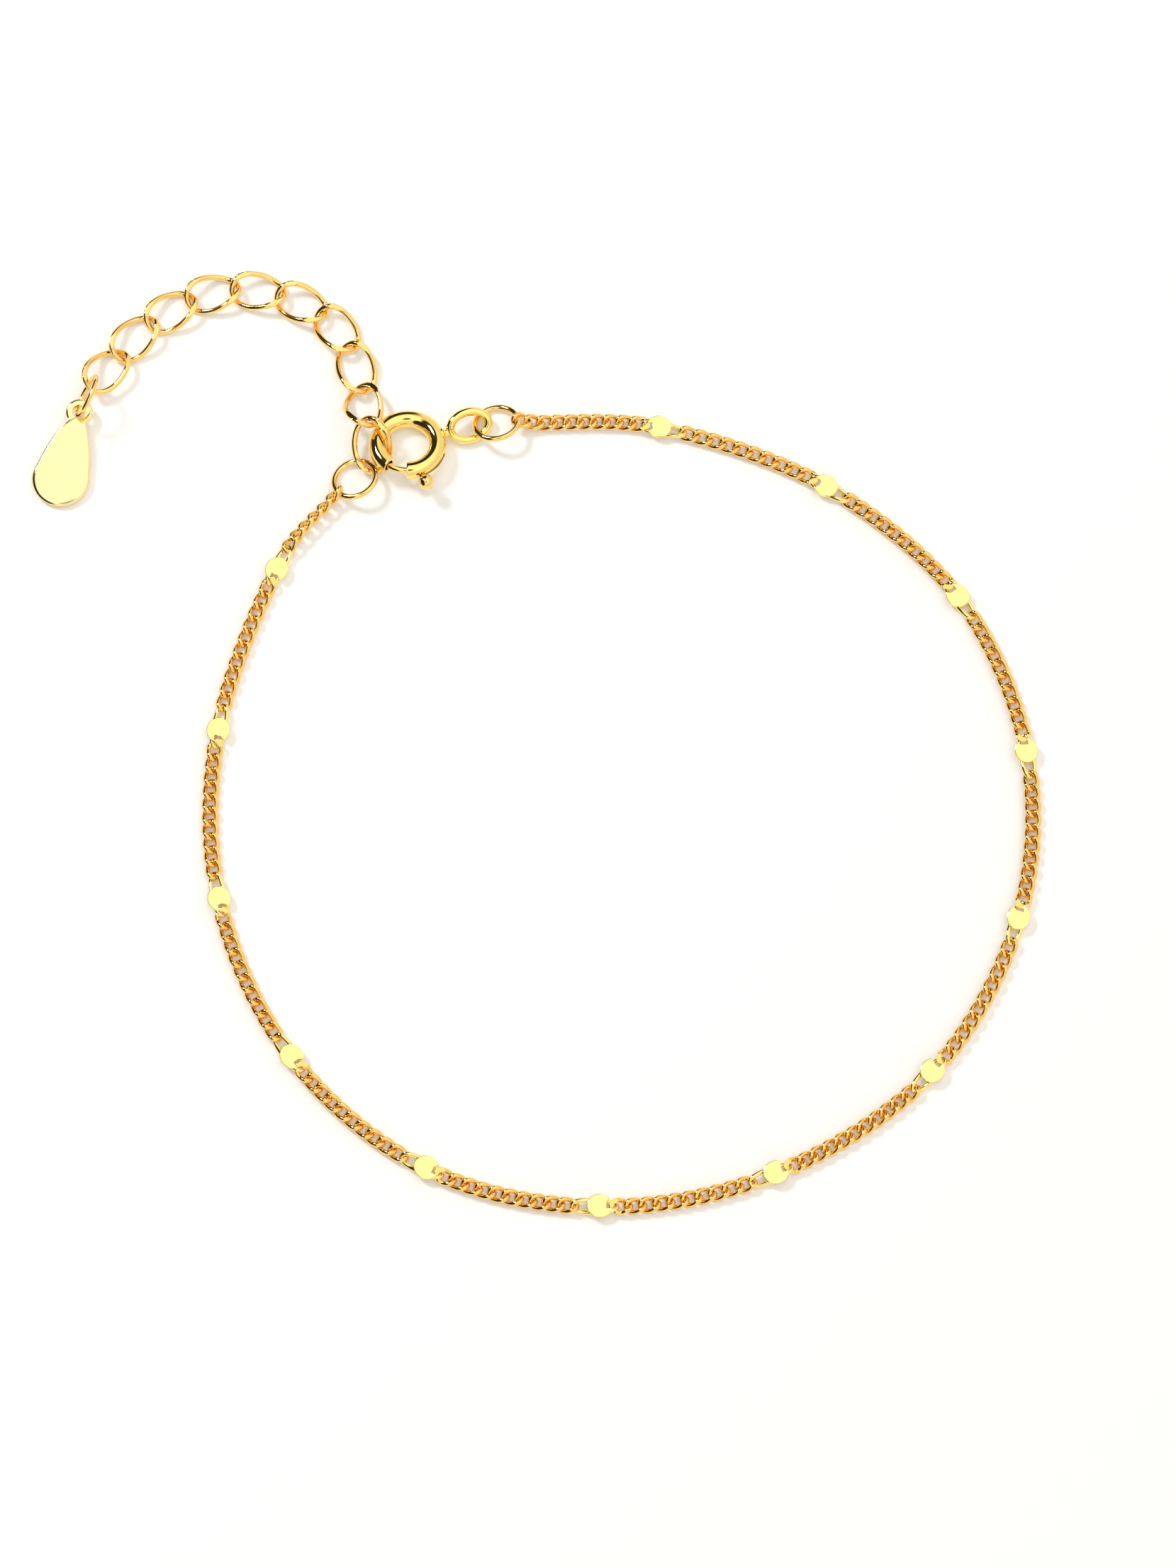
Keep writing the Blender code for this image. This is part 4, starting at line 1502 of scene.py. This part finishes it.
@dataclass
class DropTag:
    """The plain teardrop: thick sheet, cut out, with a rounded rim and a slightly crowned upper face."""

    lay: Lay
    eye_radius: float = 0.97 * MM
    hole_radius: float = 0.50 * MM
    body_radius: float = 2.05 * MM
    reach: float = 5.05 * MM
    neck_angle: float = 44.0
    edge: float = 0.16 * MM
    rim: float = 0.26 * MM
    bulge: float = 0.17 * MM
    crown: float = 0.07 * MM
    flank_steps: int = 26
    crown_steps: int = 8

    def columns(self) -> list[tuple[Vector, Vector]]:
        """Points all round the outline, each with the point of the middle or of the hole that it faces.

        Returns:
            Pairs of an outer and an inner point, in order round the drop.
        """
        neck = math.radians(self.neck_angle)
        start = Vector((math.cos(neck), math.sin(neck))) * self.eye_radius
        away = start - Vector((self.reach, 0.0))
        flank = math.atan2(away.y, away.x) - math.acos(self.body_radius / away.length)
        end = Vector((self.reach + self.body_radius * math.cos(flank), self.body_radius * math.sin(flank)))
        side = []
        for share in np.linspace(0.0, 1.0, self.flank_steps)[1:-1]:
            angle = neck * max(0.0, 1.0 - share / 0.2)
            along = max(0.0, share - 0.2) / 0.8 * (self.reach - self.hole_radius)
            inner = Vector((self.hole_radius * math.cos(angle) + along, self.hole_radius * math.sin(angle)))
            swell = Vector((math.cos(flank), math.sin(flank))) * self.bulge * math.sin(math.pi * share)
            side.append((start.lerp(end, share) + swell, inner))
        mirrored = [(Vector((outer.x, -outer.y)), Vector((inner.x, -inner.y))) for outer, inner in side]
        eye = [
            (turned * self.eye_radius, turned * self.hole_radius)
            for turned in (
                Vector((math.cos(angle), math.sin(angle)))
                for angle in np.linspace(neck, 2.0 * math.pi - neck, 49)
            )
        ]
        body = [
            (
                Vector((self.reach + self.body_radius * math.cos(angle), self.body_radius * math.sin(angle))),
                Vector((self.reach, 0.0)),
            )
            for angle in np.linspace(-flank, flank, 73)
        ]
        return eye + mirrored + body + side[::-1]

    def face(self, cage: bmesh.types.BMesh, way: float) -> None:
        """Loft one face of the sheet from its rim to its middle.

        Args:
            cage: The mesh that is being built.
            way: 1 for the upper face and -1 for the lower one.
        """
        half = 0.5 * self.lay.tag_thickness
        grid = []
        for outer, inner in self.columns():
            width = (inner - outer).length
            rise = self.crown * (width / self.body_radius) ** 2 if way > 0.0 else 0.0
            rim = self.rim * min(1.0, width / (2.5 * self.rim))
            rows = [
                (rim * (1.0 - math.cos(turn)), half - self.edge * (1.0 - math.sin(turn)))
                for turn in np.radians(np.linspace(0.0, 90.0, 11))
            ]
            for share in np.linspace(0.0, 1.0, self.crown_steps + 1)[1:]:
                rows.append((rim + (width - rim) * share, half + rise * (1.0 - (1.0 - share) ** 2)))
            spots = [(outer.lerp(inner, depth / width), height) for depth, height in rows]
            grid.append([cage.verts.new((spot.x, spot.y, way * height)) for spot, height in spots])
        for one, two in zip(grid, grid[1:] + grid[:1]):
            for index in range(len(one) - 1):
                cage.faces.new((one[index], two[index], two[index + 1], one[index + 1]))

    def build(self) -> None:
        """Loft both faces, close the rim and the hole, and lay the drop down."""
        cage = bmesh.new()
        self.face(cage, 1.0)
        self.face(cage, -1.0)
        bmesh.ops.remove_doubles(cage, verts=cage.verts, dist=0.002 * MM)
        open_edges = [edge for edge in cage.edges if edge.is_boundary]
        reach = 1.3 * self.hole_radius
        rim = [edge for edge in open_edges if min(v.co.xy.length for v in edge.verts) > reach]
        hole = [edge for edge in open_edges if edge not in rim]
        for loops in (rim, hole):
            bmesh.ops.bridge_loops(cage, edges=loops)
        drop = placed(solid("plain_drop", cage), self.lay.tag)
        dress(drop, TAG_SHEET, FIXED, ["drop_tag"], "plain teardrop")


def direction(bearing: float, elevation: float) -> Vector:
    """The direction at a bearing from +X and a height above the table, both in degrees."""
    turn, rise = math.radians(bearing), math.radians(elevation)
    return Vector((math.cos(turn) * math.cos(rise), math.sin(turn) * math.cos(rise), math.sin(rise)))


@dataclass(frozen=True)
class Panel:
    """A soft light panel that faces the bracelet's middle.

    Attributes:
        name: Its name.
        bearing: Where it stands, in degrees from +X.
        elevation: How high it stands, in degrees.
        distance: How far away it stands.
        size: Its width and height.
        radiance: How bright its face is.
    """

    name: str
    bearing: float
    elevation: float
    distance: float
    size: tuple[float, float]
    radiance: float

    def build(self) -> None:
        """Put the panel up."""
        lamp = bpy.data.lights.new(self.name, "AREA")
        lamp.shape = "RECTANGLE"
        lamp.size, lamp.size_y = self.size
        lamp.energy = self.radiance * math.pi * self.size[0] * self.size[1]
        away = direction(self.bearing, self.elevation)
        item = bpy.data.objects.new(self.name, lamp)
        item.location = away * self.distance
        item.rotation_euler = away.to_track_quat("Z", "Y").to_euler()
        bpy.context.scene.collection.objects.link(item)


@dataclass(frozen=True)
class DarkPatch:
    """A dark round patch of the light tent, seen from the bracelet, with angles in degrees.

    Attributes:
        name: What it is.
        bearing: Where its middle is, from +X.
        elevation: How high its middle is.
        core: Radius inside which it is fully dark.
        edge: Radius at which it ends.
    """

    name: str
    bearing: float
    elevation: float
    core: float
    edge: float


@dataclass
class Studio:
    """White table under a lit tent with one dark side, a small bright lamp, and the camera."""

    focal_px: float = 7638.0
    frame_px: float = 2212.0
    distance: float = 380.0 * MM
    elevation: float = 73.0
    floor_half: float = 0.70
    floor_glow: float = 0.12
    roof_light: float = 1.34
    side_light: float = 0.90
    dark_light: float = 0.03
    roof_from: float = 35.0
    roof_full: float = 68.0
    dark: tuple[DarkPatch, ...] = (
        DarkPatch("open side at the back left", 150.0, 0.0, 64.0, 70.0),
        DarkPatch("stand at the front left", 205.0, 25.0, 32.0, 41.0),
        DarkPatch("hole for the lens", -90.0, 73.0, 7.0, 12.0),
    )
    key: Panel = Panel("key_lamp", 141.0, 46.0, 0.60, (0.13, 0.13), 30.0)

    def floor(self) -> None:
        """The white table, lit a little from within as an acrylic light table is."""
        mesh = bpy.data.meshes.new("white_table")
        half = self.floor_half
        level = -0.01 * MM
        mesh.from_pydata(
            [(-half, -half, level), (half, -half, level), (half, half, level), (-half, half, level)],
            [],
            [(0, 1, 2, 3)],
        )
        material = bpy.data.materials.new("white_acrylic_table")
        material.use_nodes = True
        shader = material.node_tree.nodes["Principled BSDF"]
        shader.inputs["Base Color"].default_value = linear("#F7F6F4")
        shader.inputs["Roughness"].default_value = 0.9
        shader.inputs["Specular IOR Level"].default_value = 0.0
        shader.inputs["Emission Color"].default_value = linear("#FFFDFA")
        shader.inputs["Emission Strength"].default_value = self.floor_glow
        mesh.materials.append(material)
        new_object("white_table", mesh)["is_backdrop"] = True

    def camera(self) -> None:
        """The camera, aimed at the middle of the photograph's ground."""
        rise = math.radians(self.elevation)
        x, y = Lay.on_surface([(0.0, 0.0)])[0]
        back = Vector((0.0, -math.cos(rise), math.sin(rise)))
        lens = bpy.data.cameras.new("camera")
        lens.sensor_width = 36.0
        lens.lens = 36.0 * self.focal_px / self.frame_px
        lens.clip_start, lens.clip_end = 0.02, 10.0
        item = bpy.data.objects.new("camera", lens)
        item.location = Vector((x, y, 0.0)) + back * self.distance
        item.rotation_euler = back.to_track_quat("Z", "Y").to_euler()
        bpy.context.scene.collection.objects.link(item)
        bpy.context.scene.camera = item

    def world(self) -> None:
        """The lit tent: a bright roof, softer sides and a few dark patches.

        The open side draws the black stripes along the polished tube of the clasp, and the hole for the
        lens the fine dark lines along the wires.
        """
        world = bpy.data.worlds.new("light_tent")
        world.use_nodes = True
        tree = world.node_tree
        tree.nodes.clear()
        facing = add_node(tree, "ShaderNodeTexCoord").outputs["Generated"]
        height = add_node(tree, "ShaderNodeSeparateXYZ", {0: facing}).outputs["Z"]
        roof = add_node(
            tree,
            "ShaderNodeMapRange",
            {
                1: math.sin(math.radians(self.roof_from)),
                2: math.sin(math.radians(self.roof_full)),
                3: self.side_light,
                4: self.roof_light,
                0: height,
            },
            interpolation_type="SMOOTHSTEP",
        )
        light = roof.outputs["Result"]
        for patch in self.dark:
            toward = add_node(
                tree,
                "ShaderNodeVectorMath",
                {1: direction(patch.bearing, patch.elevation), 0: facing},
                operation="DOT_PRODUCT",
            )
            cover = add_node(
                tree,
                "ShaderNodeMapRange",
                {
                    1: math.cos(math.radians(patch.edge)),
                    2: math.cos(math.radians(patch.core)),
                    0: toward.outputs["Value"],
                },
                interpolation_type="SMOOTHSTEP",
            )
            light = add_node(
                tree, "ShaderNodeMix", {3: self.dark_light, 0: cover.outputs["Result"], 2: light}
            ).outputs[0]
        background = add_node(tree, "ShaderNodeBackground", {"Color": linear("#FFFDF8"), "Strength": light})
        add_node(tree, "ShaderNodeOutputWorld", {"Surface": background.outputs["Background"]})
        bpy.context.scene.world = world
        bpy.context.scene.view_settings.view_transform = "Standard"

    def build(self) -> None:
        """Set everything up."""
        self.floor()
        self.camera()
        self.world()
        self.key.build()
        LOG.info("studio: table, camera, light tent and %s", self.key.name)


def corners() -> list[list[float]]:
    """The lowest and the highest corner of what is shown."""
    return [list(corner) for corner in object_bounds()]


def main() -> None:
    """Build every piece in order."""
    logging.basicConfig(level=logging.INFO, format="%(name)s: %(message)s", stream=sys.stdout)
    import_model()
    lay, trees = Lay(), LinkTrees()
    CurbChain(lay, trees).build()
    DiscStations(lay, trees).build()
    Extender(lay, trees).build()
    Rings(lay).build()
    SpringRing(lay).build()
    DropTag(lay).build()
    Studio().build()


if __name__ == "__main__":
    main()
